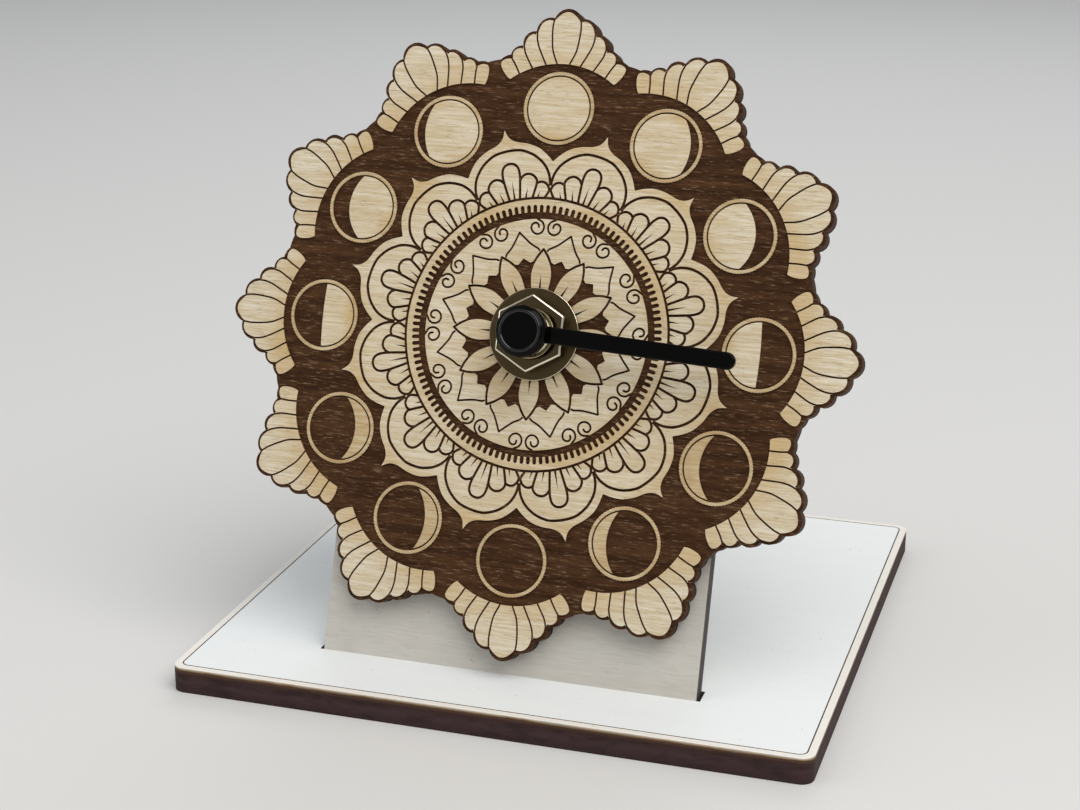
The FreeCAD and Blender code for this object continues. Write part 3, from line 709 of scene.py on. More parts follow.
# %% The dial's ground plate
VALLEY_R = 51.45
CROWNS = [(0.0, 18.4), (4.9, 16.0), (7.45, 13.45), (9.5, 10.8), (11.3, 9.1)]
NOTCHES = [(2.55, 16.6), (5.85, 14.0), (8.1, 11.25), (10.3, 9.45), (12.1, 8.45)]


def fan_outline():
    """One fan's outline, from its left end to its right one."""
    right = arc_through((-NOTCHES[0][0], NOTCHES[0][1]), CROWNS[0], NOTCHES[0], 10)[5:]
    for start, crown, end in zip(NOTCHES, CROWNS[1:], NOTCHES[1:]):
        right += arc_through(start, crown, end)[1:]
    return shifted(mirrored(right)[:-1] + right, 0.0, MOON_CIRCLE_R)


def ground_sector():
    """A twelfth of the plate: one fan's outline, half a valley each side, and the bore."""
    fan = fan_outline()
    next_start = turned_by([fan[0]], -STEP)[0]
    valley = turned_by([(0.0, VALLEY_R)], -STEP / 2)[0]
    half_valley = arc_through(fan[-1], valley, next_start, 8)[:5]
    bore = arc_about((0, 0), BUSHING_HOLE_R, 90 - STEP / 2, 90 + STEP / 2, 6)
    return mirrored(half_valley[1:]) + fan + half_valley[1:] + bore


dial_ground = bmesh.new()
draw(dial_ground, ground_sector())
spin_round(dial_ground, PHASES)
thicken(dial_ground, 0.0, ground_z)
for face in dial_ground.faces:
    if abs(face.normal.z) < 0.5:
        face.material_index = 1
    elif face.normal.z < 0:
        face.material_index = 2
ground_piece = finished(dial_ground, "dial_ground", "clock_stand",
                        [engraved_ground, dial_edge, plain_birch])
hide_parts("dial_plate")

# %% [markdown]
# Each fan has nine light lobes with a thin engraved line between neighbours. Four such lines are
# drawn for the right half. A lobe then runs up beside one line, over its own rounded crown, down
# beside the next line, and back along the arc at the fan's foot.

# %% The shell fans
LINE = 0.32
FOOT_CENTRE_Y = -8.18
FOOT_R = 16.35
FAN_LINES = [
    [(1.20, 8.17), (2.18, 10.38), (2.53, 12.45), (2.68, 14.53), (2.57, 15.98)],
    [(3.26, 7.84), (4.17, 9.49), (4.97, 11.08), (5.41, 12.49), (5.52, 13.74)],
    [(5.81, 7.10), (6.74, 8.58), (7.45, 9.84), (7.80, 11.08)],
    [(8.19, 5.97), (9.08, 7.51), (9.84, 8.58)],
]
LOBE_CROWNS = [
    [(-1.95, 16.6), (-0.95, 17.43), (0.0, 17.7), (0.95, 17.43), (1.95, 16.6)],
    [(2.95, 16.02), (3.53, 16.05), (4.36, 15.7), (4.98, 14.94)],
    [(5.80, 13.3), (6.23, 13.38), (6.97, 12.95), (7.47, 12.16)],
    [(8.02, 10.60), (8.42, 10.66), (9.21, 10.42), (9.75, 9.70)],
]
LAST_LOBE = [(10.12, 8.62), (10.87, 8.55), (11.54, 8.22), (11.87, 7.68), (11.62, 6.81),
             (10.87, 5.73), (10.17, 5.06), (9.90, 4.95)]


def foot_arc(right_x, left_x):
    """The arc at the fan's foot, from one x back to another."""
    xs = [right_x + (left_x - right_x) * i / 3 for i in range(4)]
    return [Vector((x, FOOT_CENTRE_Y + math.sqrt(FOOT_R ** 2 - x * x))) for x in xs]


def lobe(left_line, crown, right_line):
    """One closed lobe between the engraved lines on its two sides."""
    left = beside(flow(left_line), -LINE / 2)
    right = beside(flow(right_line), LINE / 2) if right_line else []
    top = flow([left[-1]] + [Vector(p) for p in crown] + (right[-1:] if right else []))
    rise = left + top[1:] + list(reversed(right))[1:]
    return rise + foot_arc(rise[-1].x, rise[0].x)


dial_fans = bmesh.new()
first_line = [Vector(p) for p in FAN_LINES[0]]
left_of_middle = [Vector((-p.x, p.y)) for p in first_line]
lobes = [lobe(left_of_middle, LOBE_CROWNS[0], first_line)]
for left_line, crown, right_line in zip(FAN_LINES, LOBE_CROWNS[1:], FAN_LINES[1:]):
    lobes.append(lobe(left_line, crown, right_line))
lobes.append(lobe(FAN_LINES[-1], LAST_LOBE, None))
for index, outline in enumerate(lobes):
    draw(dial_fans, shifted(outline, 0.0, MOON_CIRCLE_R))
    if index:
        draw(dial_fans, shifted(mirrored(outline), 0.0, MOON_CIRCLE_R))
spin_round(dial_fans, PHASES)
thicken(dial_fans, island_z, dial_front, CHAMFER)
paint_islands(dial_fans)
fans_piece = finished(dial_fans, "dial_fans", "clock_stand", [dial_birch, toasted_wall])
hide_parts("dial_plate")

# %% [markdown]
# A moon is a thin ring with a disc inside it, of which only the lit part stands up. Going round
# the dial the light shrinks from the full moon at the top to none at the bottom and grows again.
# The rings turn with the dial's places, but the shadows all stay upright, as in the sky. The beam
# sweeps in fine rows, which leaves the rings' outer edges slightly toothed.

# %% The twelve moons
RING_R = (6.06, 6.64)
DISC_R = 5.80
LEFT, RIGHT = -1, 1
FULL, NEW = (LEFT, 0.0, 1.0), None
MOONS = [FULL, (LEFT, 0.55, 0.78), (LEFT, 0.08, 0.48), (LEFT, 0.0, 0.04), (LEFT, -0.15, -0.52),
         (LEFT, -0.28, -0.58), NEW, (RIGHT, -0.28, -0.58), (RIGHT, -0.15, -0.52),
         (RIGHT, 0.0, 0.04), (RIGHT, 0.08, 0.48), (RIGHT, 0.55, 0.78)]
RING_TEETH = 72
TOOTH = 0.09


def lit_shape(side, at_rim, at_middle):
    """The lit part. The numbers say how far to the dark side the shadow's edge lies, as shares of
    the radius, where it meets the rim and at the moon's middle."""
    horn = Vector((-side * at_rim, math.sqrt(1 - at_rim ** 2))) * DISC_R
    low_horn = Vector((horn.x, -horn.y))
    limb = arc_through(horn, (side * DISC_R, 0.0), low_horn, 40)
    return limb + arc_through(low_horn, (-side * at_middle * DISC_R, 0.0), horn, 28)[1:-1]


dial_moons = bmesh.new()
moon_places = [turned_by([(0.0, MOON_CIRCLE_R)], -index * STEP)[0] for index in range(PHASES)]
for place, moon in zip(moon_places, MOONS):
    at = Matrix.Translation((place.x, place.y, 0.0))
    inner, outer = [bmesh.ops.create_circle(dial_moons, segments=2 * RING_TEETH, radius=r,
                                            matrix=at)["verts"] for r in RING_R]
    for vert in outer[::2]:
        vert.co.xy += (vert.co.xy - place).normalized() * TOOTH
    rims = [e for e in dial_moons.edges if e.is_wire]
    bmesh.ops.bridge_loops(dial_moons, edges=rims)
    if moon:
        draw(dial_moons, shifted(lit_shape(*moon), place.x, place.y))
thicken(dial_moons, island_z, dial_front, CHAMFER)
paint_islands(dial_moons)
crescents = [place for place, moon in zip(moon_places, MOONS) if moon and moon[2] < 0]
for face in dial_moons.faces:
    middle = face.calc_center_median().xy
    in_ring = min((middle - place).length for place in moon_places) > RING_R[0]
    in_crescent = min((middle - place).length for place in crescents) < DISC_R
    if (in_ring or in_crescent) and face.material_index == 0:
        face.material_index = 2
moons_piece = finished(dial_moons, "dial_moons", "clock_stand",
                       [dial_birch, toasted_wall, ring_birch])
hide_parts("dial_plate")

# %% [markdown]
# Inside the moons lies the medallion: a lotus of twelve petals, a toothed ring, pairs of scrolls
# and a double flower. All its dark lines are cuts. One twelfth of it is a wedge of wood, each line
# is a thin blade with round ends, and a Boolean takes the blades out of the wedge. The wedge is
# then spun round. Blades from the neighbouring twelfths are put in too, so the seams agree.

# %% Cutting blades
ARCH_LINE, LOBE_LINE, RING_LINE = 0.51, 0.48, 0.47
SCROLL_LINE, FLOWER_LINE, BACK_PETAL_LINE = 0.39, 0.44, 0.37
BLADE_PAST = 0.3           # above and below the wedge
BLADE_STEP = 0.0007        # from each blade's height to the next one's
BLADE_ROOT = 0.2           # of a pointed cut, behind its base
END_STEPS = 4


def stroke(points, width):
    """The outline of a line of even width with round ends."""
    half = width / 2
    left = beside(points, half)
    right = beside(points, -half)
    start, end = Vector(points[0]), Vector(points[-1])
    out_angle = math.degrees(math.atan2(left[-1].y - end.y, left[-1].x - end.x))
    in_angle = math.degrees(math.atan2(right[0].y - start.y, right[0].x - start.x))
    cap = arc_about(end, half, out_angle, out_angle - 180, END_STEPS)[1:-1]
    tail = arc_about(start, half, in_angle, in_angle - 180, END_STEPS)[1:-1]
    return left + cap + list(reversed(right)) + tail


def wedge_cut(base, tip, width):
    """A cut that starts wide at its base and dies out in a point."""
    base, tip = Vector(base), Vector(tip)
    along = (tip - base).normalized()
    side = Vector((-along.y, along.x)) * width / 2
    root = base - along * BLADE_ROOT
    return [root + side, root - side, tip]


def blade_mesh(cuts):
    """Blades for the Boolean, each a little taller than the last so that no two tops are level."""
    blades = bmesh.new()
    for count, cut in enumerate(cuts, start=1):
        past = BLADE_PAST + BLADE_STEP * count
        face = blades.faces.new([blades.verts.new((p.x, p.y, island_z - past)) for p in cut])
        raise_faces(blades, [face], dial_front - island_z + 2 * past)
    return blades


# %% [markdown]
# All that follows is drawn for the petal that points straight up. Its neighbours' moons lie 15
# degrees to either side, so what belongs to a moon's ray is drawn upright and then turned there.

# %% The medallion's lines
HALF = STEP / 2
PETAL_OUTLINE = [(0.0, 38.1), (0.45, 36.9), (1.05, 36.15), (2.1, 35.5), (4.0, 34.85), (5.9, 33.75),
                 (7.2, 32.3)]
PETAL_VALLEY_R = 31.75
ARCH = [(0.0, 34.2), (1.5, 34.1), (3.0, 33.72), (4.98, 32.45), (6.47, 30.6), (7.06, 28.9),
        (7.15, 27.6)]
ARCH_FOOT = (7.02, 26.6)
BASE_RING_R = 24.98
CENTRE_LOBE = [(1.0, 25.1), (1.39, 27.47), (1.64, 29.47), (1.47, 30.86), (0.8, 31.62), (0.0, 31.82)]
SIDE_LOBE = [(1.62, 28.5), (2.15, 29.08), (3.1, 29.36), (4.1, 28.95), (4.66, 28.0), (4.5, 27.1),
             (3.42, 24.95)]
SMALL_LOBE = [(4.75, 27.35), (5.4, 27.44), (6.15, 27.12), (6.62, 26.4), (6.68, 25.6), (6.2, 24.95),
              (5.75, 24.55)]
LOBE_DASHES = [((0.0, 25.1), (0.0, 28.76), 0.44), ((2.1, 24.95), (2.80, 27.0), 0.42),
               ((4.36, 24.7), (5.02, 25.9), 0.40)]
BAND_R = (21.15, 22.4)
SLOT_TOP_R = 23.4
SLOT_WIDTH = 0.72
SLOTS_PER_STEP = 10
SCROLL = [(2.05, 21.3), (1.62, 21.02), (0.85, 20.62), (0.45, 20.0), (0.42, 19.3), (0.80, 18.62),
          (1.55, 18.32), (2.35, 18.62), (2.78, 19.35), (2.62, 20.05), (2.05, 20.38),
          (1.52, 20.15), (1.36, 19.62)]
FLOWER_EDGE = [(0.0, 15.65), (0.45, 15.05), (0.85, 14.5), (1.4, 13.5), (1.85, 12.4), (2.08, 11.0),
               (2.0, 9.6), (1.85, 8.6), (1.7, 7.6)]
BACK_PETAL_SIDE = [(0.75, 15.35), (1.15, 15.75), (2.6, 16.5), (4.91, 18.32)]
NOTCH_CORNER_R = 14.15
NOTCH_SHOULDER = (1.16, 13.15)
FLOWER_DASH = ((0.0, 8.3), (0.0, 11.0), 0.5)
MEDALLION_INNER_R = 7.4
RING_PAST = 3.0            # degrees
RING_STEPS = 24
SLOT_ROOT = 0.3            # inside the band's dark groove
SHOULDER_ROOM = 0.3
SEAM_ROOM = 0.02           # degrees


def petal_half(side):
    """Half of the wedge's outer edge, on the left (-1) or the right (1) of the petal's tip."""
    valley = turned_by([(0.0, PETAL_VALLEY_R)], -HALF)[0]
    half = flow(PETAL_OUTLINE + [valley])
    return half if side > 0 else mirrored(half)


def petal_cuts():
    """The cuts that belong to one petal: its arch, its lobes and their dashes."""
    arch = flow(ARCH + [ARCH_FOOT])
    centre = flow(CENTRE_LOBE)
    cuts = [stroke(mirrored(arch)[:-1] + arch, ARCH_LINE),
            stroke(centre[:-1] + mirrored(centre), LOBE_LINE)]
    for points in (SIDE_LOBE, SMALL_LOBE):
        cuts += [stroke(flow(points), LOBE_LINE), stroke(mirrored(flow(points)), LOBE_LINE)]
    for index, (base, tip, width) in enumerate(LOBE_DASHES):
        cuts.append(wedge_cut(base, tip, width))
        if index:
            cuts.append(wedge_cut((-base[0], base[1]), (-tip[0], tip[1]), width))
    return cuts


def ray_cuts():
    """The cuts that belong to a moon's ray: two scrolls and a petal of each flower."""
    cuts = []
    for points, width in ((SCROLL, SCROLL_LINE), (FLOWER_EDGE, FLOWER_LINE),
                          (BACK_PETAL_SIDE, BACK_PETAL_LINE)):
        cuts += [stroke(flow(points), width), stroke(mirrored(flow(points)), width)]
    return cuts + [wedge_cut(*FLOWER_DASH)]


def ring_cut(inner, outer):
    """A stretch of a ring that is a little wider than the wedge."""
    reach = HALF + RING_PAST
    return (arc_about((0, 0), outer, 90 + reach, 90 - reach, RING_STEPS)
            + arc_about((0, 0), inner, 90 - reach, 90 + reach, RING_STEPS))


# %% [markdown]
# Between two front petals the ground shows through in a dark arrowhead. It is wide at its
# shoulders and narrows down along the petals' sides to the washer.


# %% Cutting the medallion
def arrowhead():
    """The dark gap between two front petals, for the axis that points straight up."""
    edge = turned_by(flow(FLOWER_EDGE), HALF)
    left = [p for p in edge if p.y < NOTCH_SHOULDER[1] + SHOULDER_ROOM]
    corner = Vector((0.0, NOTCH_CORNER_R))
    shoulder = Vector(NOTCH_SHOULDER)
    return [corner, Vector((-shoulder.x, shoulder.y))] + left + mirrored(left) + [shoulder]


def add_object(bm, name):
    data = bpy.data.meshes.new(name)
    bm.to_mesh(data)
    bm.free()
    thing = bpy.data.objects.new(name, data)
    bpy.context.scene.collection.objects.link(thing)
    return thing


def carve(body_bm, blade_bm):
    """Take one mesh out of another and return what is left as a new drawing."""
    bmesh.ops.recalc_face_normals(body_bm, faces=body_bm.faces[:])
    bmesh.ops.recalc_face_normals(blade_bm, faces=blade_bm.faces[:])
    body = add_object(body_bm, "carve_body")
    blades = add_object(blade_bm, "carve_blades")
    cutter = body.modifiers.new("cut", "BOOLEAN")
    cutter.operation = "DIFFERENCE"
    cutter.solver = "EXACT"
    cutter.use_self = True
    cutter.object = blades
    bpy.context.view_layer.update()
    depsgraph = bpy.context.evaluated_depsgraph_get()
    carved = bmesh.new()
    result = bpy.data.meshes.new_from_object(body.evaluated_get(depsgraph))
    carved.from_mesh(result)
    bpy.data.meshes.remove(result)
    for thing in (body, blades):
        bpy.data.objects.remove(thing)
    bmesh.ops.recalc_face_normals(carved, faces=carved.faces[:])
    return carved


def is_seam(face):
    """Whether an upright face of the wedge is one of the two that meet its neighbours."""
    middle = face.calc_center_median()
    off_petal = abs(math.degrees(math.atan2(middle.x, middle.y)))
    return (abs(face.normal.z) < 0.1 and abs(off_petal - HALF) < SEAM_ROOM
            and middle.xy.length > MEDALLION_INNER_R + 0.05)


cuts = [turned_by(cut, turn) for turn in (-STEP, 0, STEP) for cut in petal_cuts()]
cuts += [turned_by(cut, turn) for turn in (-HALF, HALF) for cut in ray_cuts()]
cuts += [arrowhead(), ring_cut(BASE_RING_R - RING_LINE / 2, BASE_RING_R + RING_LINE / 2),
         ring_cut(*BAND_R)]
slot_line = [(0.0, BAND_R[1] - SLOT_ROOT), (0.0, SLOT_TOP_R)]
for slot in range(SLOTS_PER_STEP + 1):
    cuts.append(turned_by(stroke(slot_line, SLOT_WIDTH), HALF - slot * STEP / SLOTS_PER_STEP))

wedge = bmesh.new()
inner_arc = arc_about((0, 0), MEDALLION_INNER_R, 90 - HALF, 90 + HALF, 6)
draw(wedge, petal_half(-1)[:-1] + petal_half(1) + inner_arc)
thicken(wedge, island_z, dial_front)
medallion = carve(wedge, blade_mesh(cuts))
bmesh.ops.delete(medallion, geom=[f for f in medallion.faces if is_seam(f)], context="FACES")
spin_round(medallion, PHASES)
bmesh.ops.remove_doubles(medallion, verts=medallion.verts[:], dist=0.004)
open_edges = [e for e in medallion.edges if len(e.link_faces) != 2]
print("medallion open edges", len(open_edges), "faces", len(medallion.faces))
bmesh.ops.recalc_face_normals(medallion, faces=medallion.faces[:])
bmesh.ops.rotate(medallion, cent=(0, 0, 0), verts=medallion.verts[:],
                 matrix=Matrix.Rotation(math.radians(HALF), 3, "Z"))
paint_islands(medallion)
medallion_piece = finished(medallion, "dial_medallion", "clock_stand",
                           [dial_birch, toasted_wall])
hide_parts("dial_plate")

# %% [markdown]
# ## The stand
# The base is a board with small round corners and a slanted slot that the panel stands in. A fine
# line is engraved just inside its edge. The slot and the line are cut with a Boolean, as on the
# real board, and the strip outside the line has its own slightly warmer paint.

# %% Base plate
BASE_CORNER_R = 2.5
BASE_EDGE_ROUND = 0.12
BORDER_INSET = 1.35
BORDER_WIDTH = 0.25
BORDER_DEPTH = 0.18
BORDER_CORNER_R = 1.6
SLOT_END_GAP = 0.7
SLOT_CUTTER = (-12.0, 20.0)    # along the panel, from its lower end


def round_rectangle(half_x, half_y, radius):
    """A rectangle about the origin with round corners, anticlockwise."""
    loop = []
    for sx, sy, start in ((1, 1, 0), (-1, 1, 90), (-1, -1, 180), (1, -1, 270)):
        centre = (sx * (half_x - radius), sy * (half_y - radius))
        loop += arc_about(centre, radius, start, start + 90, 8)
    return loop


def box_in(bm, low, high, matrix=None):
    """A plain box between two corners, as raw stock or to cut with."""
    made = bmesh.ops.create_cube(bm, size=1.0)["verts"]
    bmesh.ops.scale(bm, vec=[b - a for a, b in zip(low, high)], verts=made)
    bmesh.ops.translate(bm, vec=[(a + b) / 2 for a, b in zip(low, high)], verts=made)
    if matrix is not None:
        bmesh.ops.transform(bm, matrix=matrix, verts=made)


board_to_upright_mm = Matrix.Scale(1 / MM, 4) @ board_to_world
half_width, half_depth = base_high.x, base_high.y
base = bmesh.new()
draw(base, round_rectangle(half_width, half_depth, BASE_CORNER_R))
thicken(base, 0.0, base_high.z)
soften(base, [e for e in base.edges if e.calc_face_angle(0.0) > 1.2 and is_level(e)],
       BASE_EDGE_ROUND, 2)
cutters = bmesh.new()
slot_half = panel_high.x + SLOT_END_GAP
box_in(cutters, (-slot_half, panel_low.y + SLOT_CUTTER[0], panel_low.z),
       (slot_half, panel_low.y + SLOT_CUTTER[1], 0.0), board_to_upright_mm)
outer_line, inner_line = [
    round_rectangle(half_width - BORDER_INSET - inner, half_depth - BORDER_INSET - inner,
                    BORDER_CORNER_R - inner) for inner in (0.0, BORDER_WIDTH)]
frame_line = bmesh.new()
loops = [[frame_line.verts.new((p.x, p.y, 0)) for p in loop] for loop in (outer_line, inner_line)]
for i in range(len(outer_line)):
    frame_line.faces.new([loops[0][i - 1], loops[0][i], loops[1][i], loops[1][i - 1]])
thicken(frame_line, base_high.z - BORDER_DEPTH, base_high.z + 1.0)
join_into(cutters, frame_line)
base = carve(base, cutters)


def inset_of(point):
    """How far inside the base's outline a point lies."""
    return min(half_width - abs(point.x), half_depth - abs(point.y))


for face in base.faces:
    middle = face.calc_center_median()
    at_top = middle.z > base_high.z - LEVEL
    if abs(face.normal.z) < 0.9:
        face.material_index = 1
    elif at_top and min(inset_of(v.co) for v in face.verts) < BORDER_INSET - 0.05:
        face.material_index = 2
    if inset_of(middle) > 1.0 and 0 < base_high.z - LEVEL - middle.z < BORDER_DEPTH:
        face.material_index = 3
    elif inset_of(middle) > 10.0 and middle.z > LEVEL and not at_top:
        face.material_index = 4
base_piece = finished(base, "base_plate_painted", "clock_stand",
                      [base_white, base_edge, margin_white, scorched_line, panel_edge],
                      Matrix.Scale(MM, 4))
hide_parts("base_plate")

# %% [markdown]
# The panel is a straight board that leans in the slot. It is drawn lying down, turned to its lean,
# and cut off level with the base's underside by one slicing plane.

# %% Upright panel
PANEL_EDGE_ROUND = 0.12
PANEL_SPARE = 5.0          # past its lower end, to be sliced off
panel = bmesh.new()
box_in(panel, (panel_low.x, panel_low.y - PANEL_SPARE, panel_low.z),
       (panel_high.x, panel_high.y, 0.0))
bmesh.ops.recalc_face_normals(panel, faces=panel.faces[:])
soften(panel, panel.edges[:], PANEL_EDGE_ROUND, 2)
for face in panel.faces:
    face.material_index = 0 if abs(face.normal.z) > 0.9 else 1
bmesh.ops.transform(panel, matrix=board_to_upright_mm, verts=panel.verts[:])
cut_off = bmesh.ops.bisect_plane(panel, geom=panel.verts[:] + panel.edges[:] + panel.faces[:],
                                 plane_co=(0, 0, 0), plane_no=(0, 0, 1), clear_inner=True)
open_rim = [g for g in cut_off["geom_cut"] if isinstance(g, bmesh.types.BMEdge)]
bmesh.ops.edgeloop_fill(panel, edges=open_rim, mat_nr=1)
bmesh.ops.recalc_face_normals(panel, faces=panel.faces[:])
panel_piece = finished(panel, "upright_panel_painted", "clock_stand", [panel_white_painted_shade, panel_edge],
                       Matrix.Scale(MM, 4))
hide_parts("upright_panel")


# %% [markdown]
# ## The nut, the washer and the hand
# Round parts are turned: a half section is drawn as a line of (radius, height) points and spun
# about the dial's axis. Small rounds on the section's corners catch the light as real edges do.


# %% Turned parts
def rounded_section(points, radius, steps=3):
    """A section whose corners are rounded. Each point may hold its own radius as a third value."""
    section = []
    count = len(points)
    for i, point in enumerate(points):
        own = point[2] if len(point) > 2 else radius
        here = Vector(point[:2])
        to_last = Vector(points[i - 1][:2]) - here
        to_next = Vector(points[(i + 1) % count][:2]) - here
        if own <= 0:
            section.append(here)
            continue
        reach = min(own, to_last.length * 0.45, to_next.length * 0.45)
        start = here + to_last.normalized() * reach
        end = here + to_next.normalized() * reach
        for step in range(steps + 1):
            t = step / steps
            section.append(start * (1 - t) ** 2 + here * 2 * t * (1 - t) + end * t * t)
    return section


def turned_part(section, segments=96):
    """Spin a section about the dial's axis into a solid ring, or a solid if it meets the axis."""
    bm = bmesh.new()
    verts = [bm.verts.new((max(p[0], 0.0), 0.0, p[1])) for p in section]
    edges = [bm.edges.new((a, b)) for a, b in zip(verts, verts[1:] + verts[:1])]
    bmesh.ops.spin(bm, geom=verts + edges, cent=(0, 0, 0), axis=(0, 0, 1), angle=2 * math.pi,
                   steps=segments, use_merge=True)
    bmesh.ops.remove_doubles(bm, verts=bm.verts[:], dist=0.0005)
    bmesh.ops.dissolve_degenerate(bm, edges=bm.edges[:], dist=0.0001)
    on_axis = [e for e in bm.edges if not e.link_faces]
    bmesh.ops.delete(bm, geom=on_axis, context="EDGES")
    bmesh.ops.recalc_face_normals(bm, faces=bm.faces[:])
    return bm


# %% Washer, nut and bushing
washer_low, washer_high = board_span("washer")
washer = turned_part(rounded_section([(BUSHING_HOLE_R, washer_low.z, 0.1),
                                      (washer_high.x, washer_low.z, 0.1),
                                      (washer_high.x, washer_high.z, 0.22),
                                      (BUSHING_HOLE_R, washer_high.z, 0.1)], 0.1))
RIM_PAINTED_HIGHLIGHT = 0.14
# painted highlight: faces on the washer's rounded outer rim take the bright copy of the nickel
for face in washer.faces:
    if face.calc_center_median().xy.length > washer_high.x - RIM_PAINTED_HIGHLIGHT and face.normal.z > 0.1:
        face.material_index = 1
washer_piece = finished(washer, "washer_turned", "clock_stand", [washer_nickel_painted_dark_reflection, nickel_painted_highlight],
                        smooth_under=40)
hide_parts("washer")

nut_low, nut_high = board_span("hex_nut")
NUT_BEVEL = 0.34
NUT_CORNER_ROUND = 0.25
NUT_COUNTERSINK = 0.7
THREAD_PITCH = 0.75
THREAD_DEPTH = 0.38
THREAD_GAP = 0.02          # between the bushing's thread and the nut
THREAD_END = 0.5           # behind the bushing's front
BUSHING_R = 4.0
BUSHING_BORE_R = 2.55
nut_corner_r = nut_high.y
bushing_low, bushing_high = board_span("threaded_bushing")
bushing_front = bushing_high.z

nut = bmesh.new()
nut_corners = [turned_by([(0.0, nut_corner_r)], -60 * i)[0] for i in range(6)]
draw(nut, nut_corners)
thicken(nut, nut_low.z, nut_high.z)
soften(nut, [e for e in nut.edges if not is_level(e)], NUT_CORNER_ROUND, 2)
rims = [e for e in nut.edges if all(v.co.z > nut_high.z - LEVEL for v in e.verts)]
soften(nut, rims, NUT_BEVEL, 3)
bore_r = BUSHING_R + THREAD_GAP
mouth_r = BUSHING_R + NUT_COUNTERSINK
bore = turned_part([(bore_r, nut_low.z - 1), (bore_r, nut_high.z - NUT_COUNTERSINK),
                    (mouth_r, nut_high.z + 0.03), (mouth_r, nut_high.z + 1),
                    (0.0, nut_high.z + 1), (0.0, nut_low.z - 1)])
nut = carve(nut, bore)
# painted highlight: the nut's bevels and countersink take the bright copy of the nickel
for face in nut.faces:
    if 0.05 < face.normal.z < 0.98:
        face.material_index = 1
nut_piece = finished(nut, "hex_nut_milled", "clock_stand", [nickel_painted_dark_reflection, nickel_painted_highlight],
                     smooth_under=35)
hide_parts("hex_nut")

thread = []
z = nut_low.z
while z < bushing_front - THREAD_END:
    thread += [(BUSHING_R - THREAD_DEPTH, z), (BUSHING_R, z + THREAD_PITCH / 2)]
    z += THREAD_PITCH
bushing_section = ([(BUSHING_BORE_R, bushing_low.z), (BUSHING_R - THREAD_DEPTH, bushing_low.z)]
                   + thread
                   + [(BUSHING_R - THREAD_DEPTH, bushing_front - 0.45),
                      (BUSHING_R - 0.30, bushing_front - 0.1), (BUSHING_R - 0.42, bushing_front),
                      (BUSHING_BORE_R + 0.12, bushing_front),
                      (BUSHING_BORE_R, bushing_front - 0.12)])
bushing = turned_part(bushing_section)
bushing_piece = finished(bushing, "bushing_threaded", "clock_stand", [thread_nickel],
                         smooth_under=50)
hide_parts("threaded_bushing")

# %% [markdown]
# The hand and its hub are one moulding in glossy black. The hub is a cap on a narrower neck, and
# is turned: its shoulder rolls over to a thin rim round a slightly sunk face, and that rim catches
# the light. The rim's finish is a lighter, glossier copy of the black: a painted highlight. The hand
# is a flat bar with a round tip that leaves the neck under the cap.

# %% Hand
hand_low, hand_high = board_span("moon_hand")
CAP_R = 4.75
CAP_THICK = 2.4
CAP_FACE_R = 3.62
CAP_SINK = 0.16
NECK_R = 3.4
NOSE_R = 2.0
HAND_WIDTH = 3.1
HAND_THICK = 1.6
HAND_LIFT = 0.9
HAND_EDGE_ROUND = 0.35
HAND_ROOT = 2.4            # from the axis, inside the neck
HAND_ANGLE = -2.8
NOSE_REACH = 3.2
hub_back, hub_front = hand_low.z, hand_high.z
hand_reach = hand_high.x
cap_back = hub_front - CAP_THICK
bore_end = hub_back + NOSE_REACH
hub = turned_part(rounded_section([
    (NOSE_R, hub_back, 0.0), (NECK_R, hub_back, 0.15), (NECK_R, cap_back, 0.12),
    (CAP_R, cap_back, 0.22), (CAP_R, hub_front - 0.72, 0.7), (CAP_FACE_R + 0.16, hub_front, 0.10),
    (CAP_FACE_R - 0.12, hub_front, 0.07), (CAP_FACE_R - 0.32, hub_front - CAP_SINK, 0.1),
    (0.0, hub_front - CAP_SINK, 0.0), (0.0, bore_end, 0.0), (NOSE_R, bore_end, 0.0),
], 0.1, 4))
# painted highlight: the cap's rim takes the lighter, glossier copy of the black
for face in hub.faces:
    middle = face.calc_center_median()
    if abs(middle.xy.length - CAP_FACE_R) < 0.22 and middle.z > hub_front - CAP_SINK * 0.6:
        face.material_index = 1
tip_centre = hand_reach - HAND_WIDTH / 2
stick = bmesh.new()
stick_outline = ([Vector((HAND_ROOT, HAND_WIDTH / 2)), Vector((HAND_ROOT, -HAND_WIDTH / 2))]
                 + arc_about((tip_centre, 0), HAND_WIDTH / 2, -90, 90, 16))
draw(stick, stick_outline)
thicken(stick, hub_back + HAND_LIFT, hub_back + HAND_LIFT + HAND_THICK)
soften(stick, [e for e in stick.edges if is_level(e)
               and min(v.co.x for v in e.verts) > HAND_ROOT - LEVEL], HAND_EDGE_ROUND, 3, clamp=True)
bmesh.ops.rotate(stick, cent=(0, 0, 0), matrix=Matrix.Rotation(math.radians(HAND_ANGLE), 3, "Z"),
                 verts=stick.verts[:])
join_into(hub, stick)
hand_piece = finished(hub, "moon_hand_moulded", "hand", [gloss_black, hub_rim_painted_highlight], smooth_under=40)
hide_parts("moon_hand")

# %% [markdown]
# ## Behind the panel
# The setting knob is a ridged thumb wheel. Its outline is a wave, drawn as a ring of points. One
# turned cutter leaves a raised rim round a shallow dish in its back, another bores it for its stem.

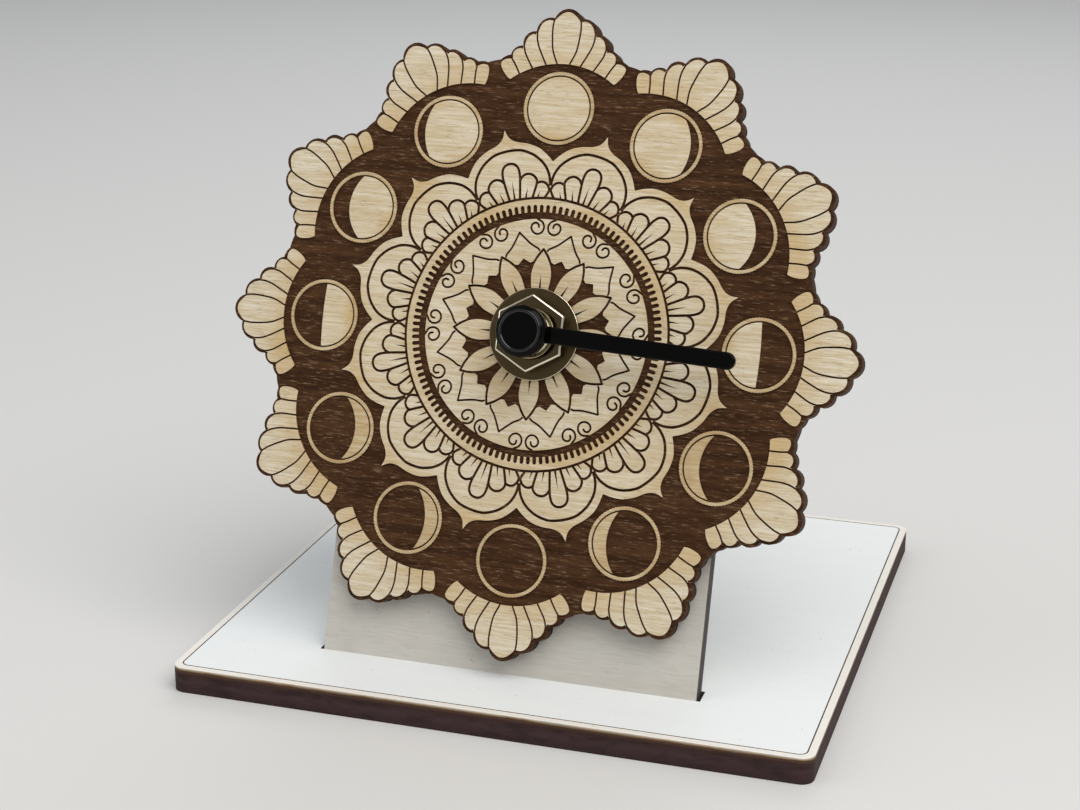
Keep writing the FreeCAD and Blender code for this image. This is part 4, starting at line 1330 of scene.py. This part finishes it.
# %% Setting knob
KNOB_RIDGES = 30
KNOB_RIDGE_DEPTH = 0.35
KNOB_RIM = 1.0
KNOB_SLOPE = 0.6
KNOB_DISH = 0.55
STEM_R = 1.5
knob_low, knob_high = board_span("setting_knob")
knob_middle = (knob_low + knob_high) / 2
knob_r = (knob_high.x - knob_low.x) / 2
knob = bmesh.new()
wave_points = []
for index in range(4 * KNOB_RIDGES):
    radius = knob_r - KNOB_RIDGE_DEPTH * (0.5 - 0.5 * math.cos(index * math.pi / 2))
    wave_points += turned_by([(radius, 0.0)], index * 90 / KNOB_RIDGES)
draw(knob, wave_points)
thicken(knob, knob_low.z, knob_high.z)
dish_r = knob_r - KNOB_RIM
dish = turned_part([(0.0, knob_low.z - 1), (dish_r, knob_low.z - 1), (dish_r, knob_low.z),
                    (dish_r - KNOB_SLOPE, knob_low.z + KNOB_DISH),
                    (0.0, knob_low.z + KNOB_DISH)], segments=64)
stem_bore = turned_part([(STEM_R, knob_middle.z), (STEM_R, knob_high.z + 1),
                         (0.0, knob_high.z + 1), (0.0, knob_middle.z)], segments=40)
knob = carve(carve(knob, dish), stem_bore)
bmesh.ops.translate(knob, vec=(knob_middle.x, knob_middle.y, 0.0), verts=knob.verts[:])
knob_piece = finished(knob, "setting_knob_ridged", "knob", [knob_plastic], smooth_under=30)
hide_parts("setting_knob")

# %% [markdown]
# The battery is a steel can in a printed wrap whose edges are shrunk over its shoulders. It is
# turned like the nut's parts, then laid on its side along the bay. A plain band marks its plus end.

# %% Battery
NUB_R = 2.75
NUB_RISE = 1.0
SHOULDER = 1.25
CRIMP = 0.25
BAND_FROM_END = (9.0, 7.2)
cell_low, cell_high = board_span("battery_cell")
cell_middle = (cell_low + cell_high) / 2
cell_r = (cell_high.y - cell_low.y) / 2
cell_length = cell_high.x - cell_low.x
can_end = cell_length - NUB_RISE
cell = turned_part(rounded_section([
    (0.0, 0.0, 0.0), (cell_r - SHOULDER - 0.5, 0.0, 0.1), (cell_r - SHOULDER - 0.3, CRIMP, 0.1),
    (cell_r - SHOULDER, CRIMP, 0.05), (cell_r - SHOULDER, 0.0, 0.05), (cell_r, 0.0, 0.6),
    (cell_r, can_end - BAND_FROM_END[0], 0.0), (cell_r, can_end - BAND_FROM_END[1], 0.0),
    (cell_r, can_end, 0.7), (cell_r - SHOULDER, can_end, 0.05),
    (cell_r - SHOULDER, can_end - CRIMP, 0.05), (NUB_R + 0.6, can_end - CRIMP, 0.2),
    (NUB_R, can_end + 0.1, 0.1), (NUB_R, cell_length, 0.3), (0.0, cell_length, 0.0)], 0.1))
for face in cell.faces:
    middle = face.calc_center_median()
    from_end = can_end - middle.z
    if middle.xy.length < cell_r - SHOULDER - 0.02:
        face.material_index = 1
    elif BAND_FROM_END[1] < from_end < BAND_FROM_END[0]:
        face.material_index = 2
lay_down = (Matrix.Translation((cell_low.x, cell_middle.y, cell_middle.z))
            @ Matrix.Rotation(math.pi / 2, 4, "Y"))
bmesh.ops.transform(cell, matrix=lay_down, verts=cell.verts[:])
cell_piece = finished(cell, "battery_wrapped", "clock_stand",
                      [battery_wrap, bare_steel, battery_band], smooth_under=40)
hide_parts("battery_cell")

# %% [markdown]
# ## What stays as it was built
# The rest of the movement keeps its solids. Each gets the finish of its real material.

# %% Finishes of the movement
FINISH_OF = {
    "rubber_gasket": gasket_rubber, "movement_case": case_plastic, "movement_cover": case_plastic,
    "circuit_board": board_green, "quartz_crystal": bare_steel, "clock_chip": chip_black,
    "coil_core": bare_steel, "coil_bobbin": white_plastic, "coil_winding": copper_wire,
    "stator_plate": bare_steel, "battery_plus_contact": brass, "battery_minus_contact": brass,
    "moon_arbor": white_plastic, "setting_wheel": white_plastic,
    "clutch_spring": bare_steel, "moon_wheel": white_plastic, "rotor_magnet": magnet_iron,
    "rotor_pinion": white_plastic, "setting_pinion": white_plastic,
}
for index in range(1, 7):
    FINISH_OF["reduction_wheel_" + str(index)] = white_plastic
for node, finish in FINISH_OF.items():
    slots = frame["nodes"][node].data.materials
    slots.clear()
    slots.append(finish)
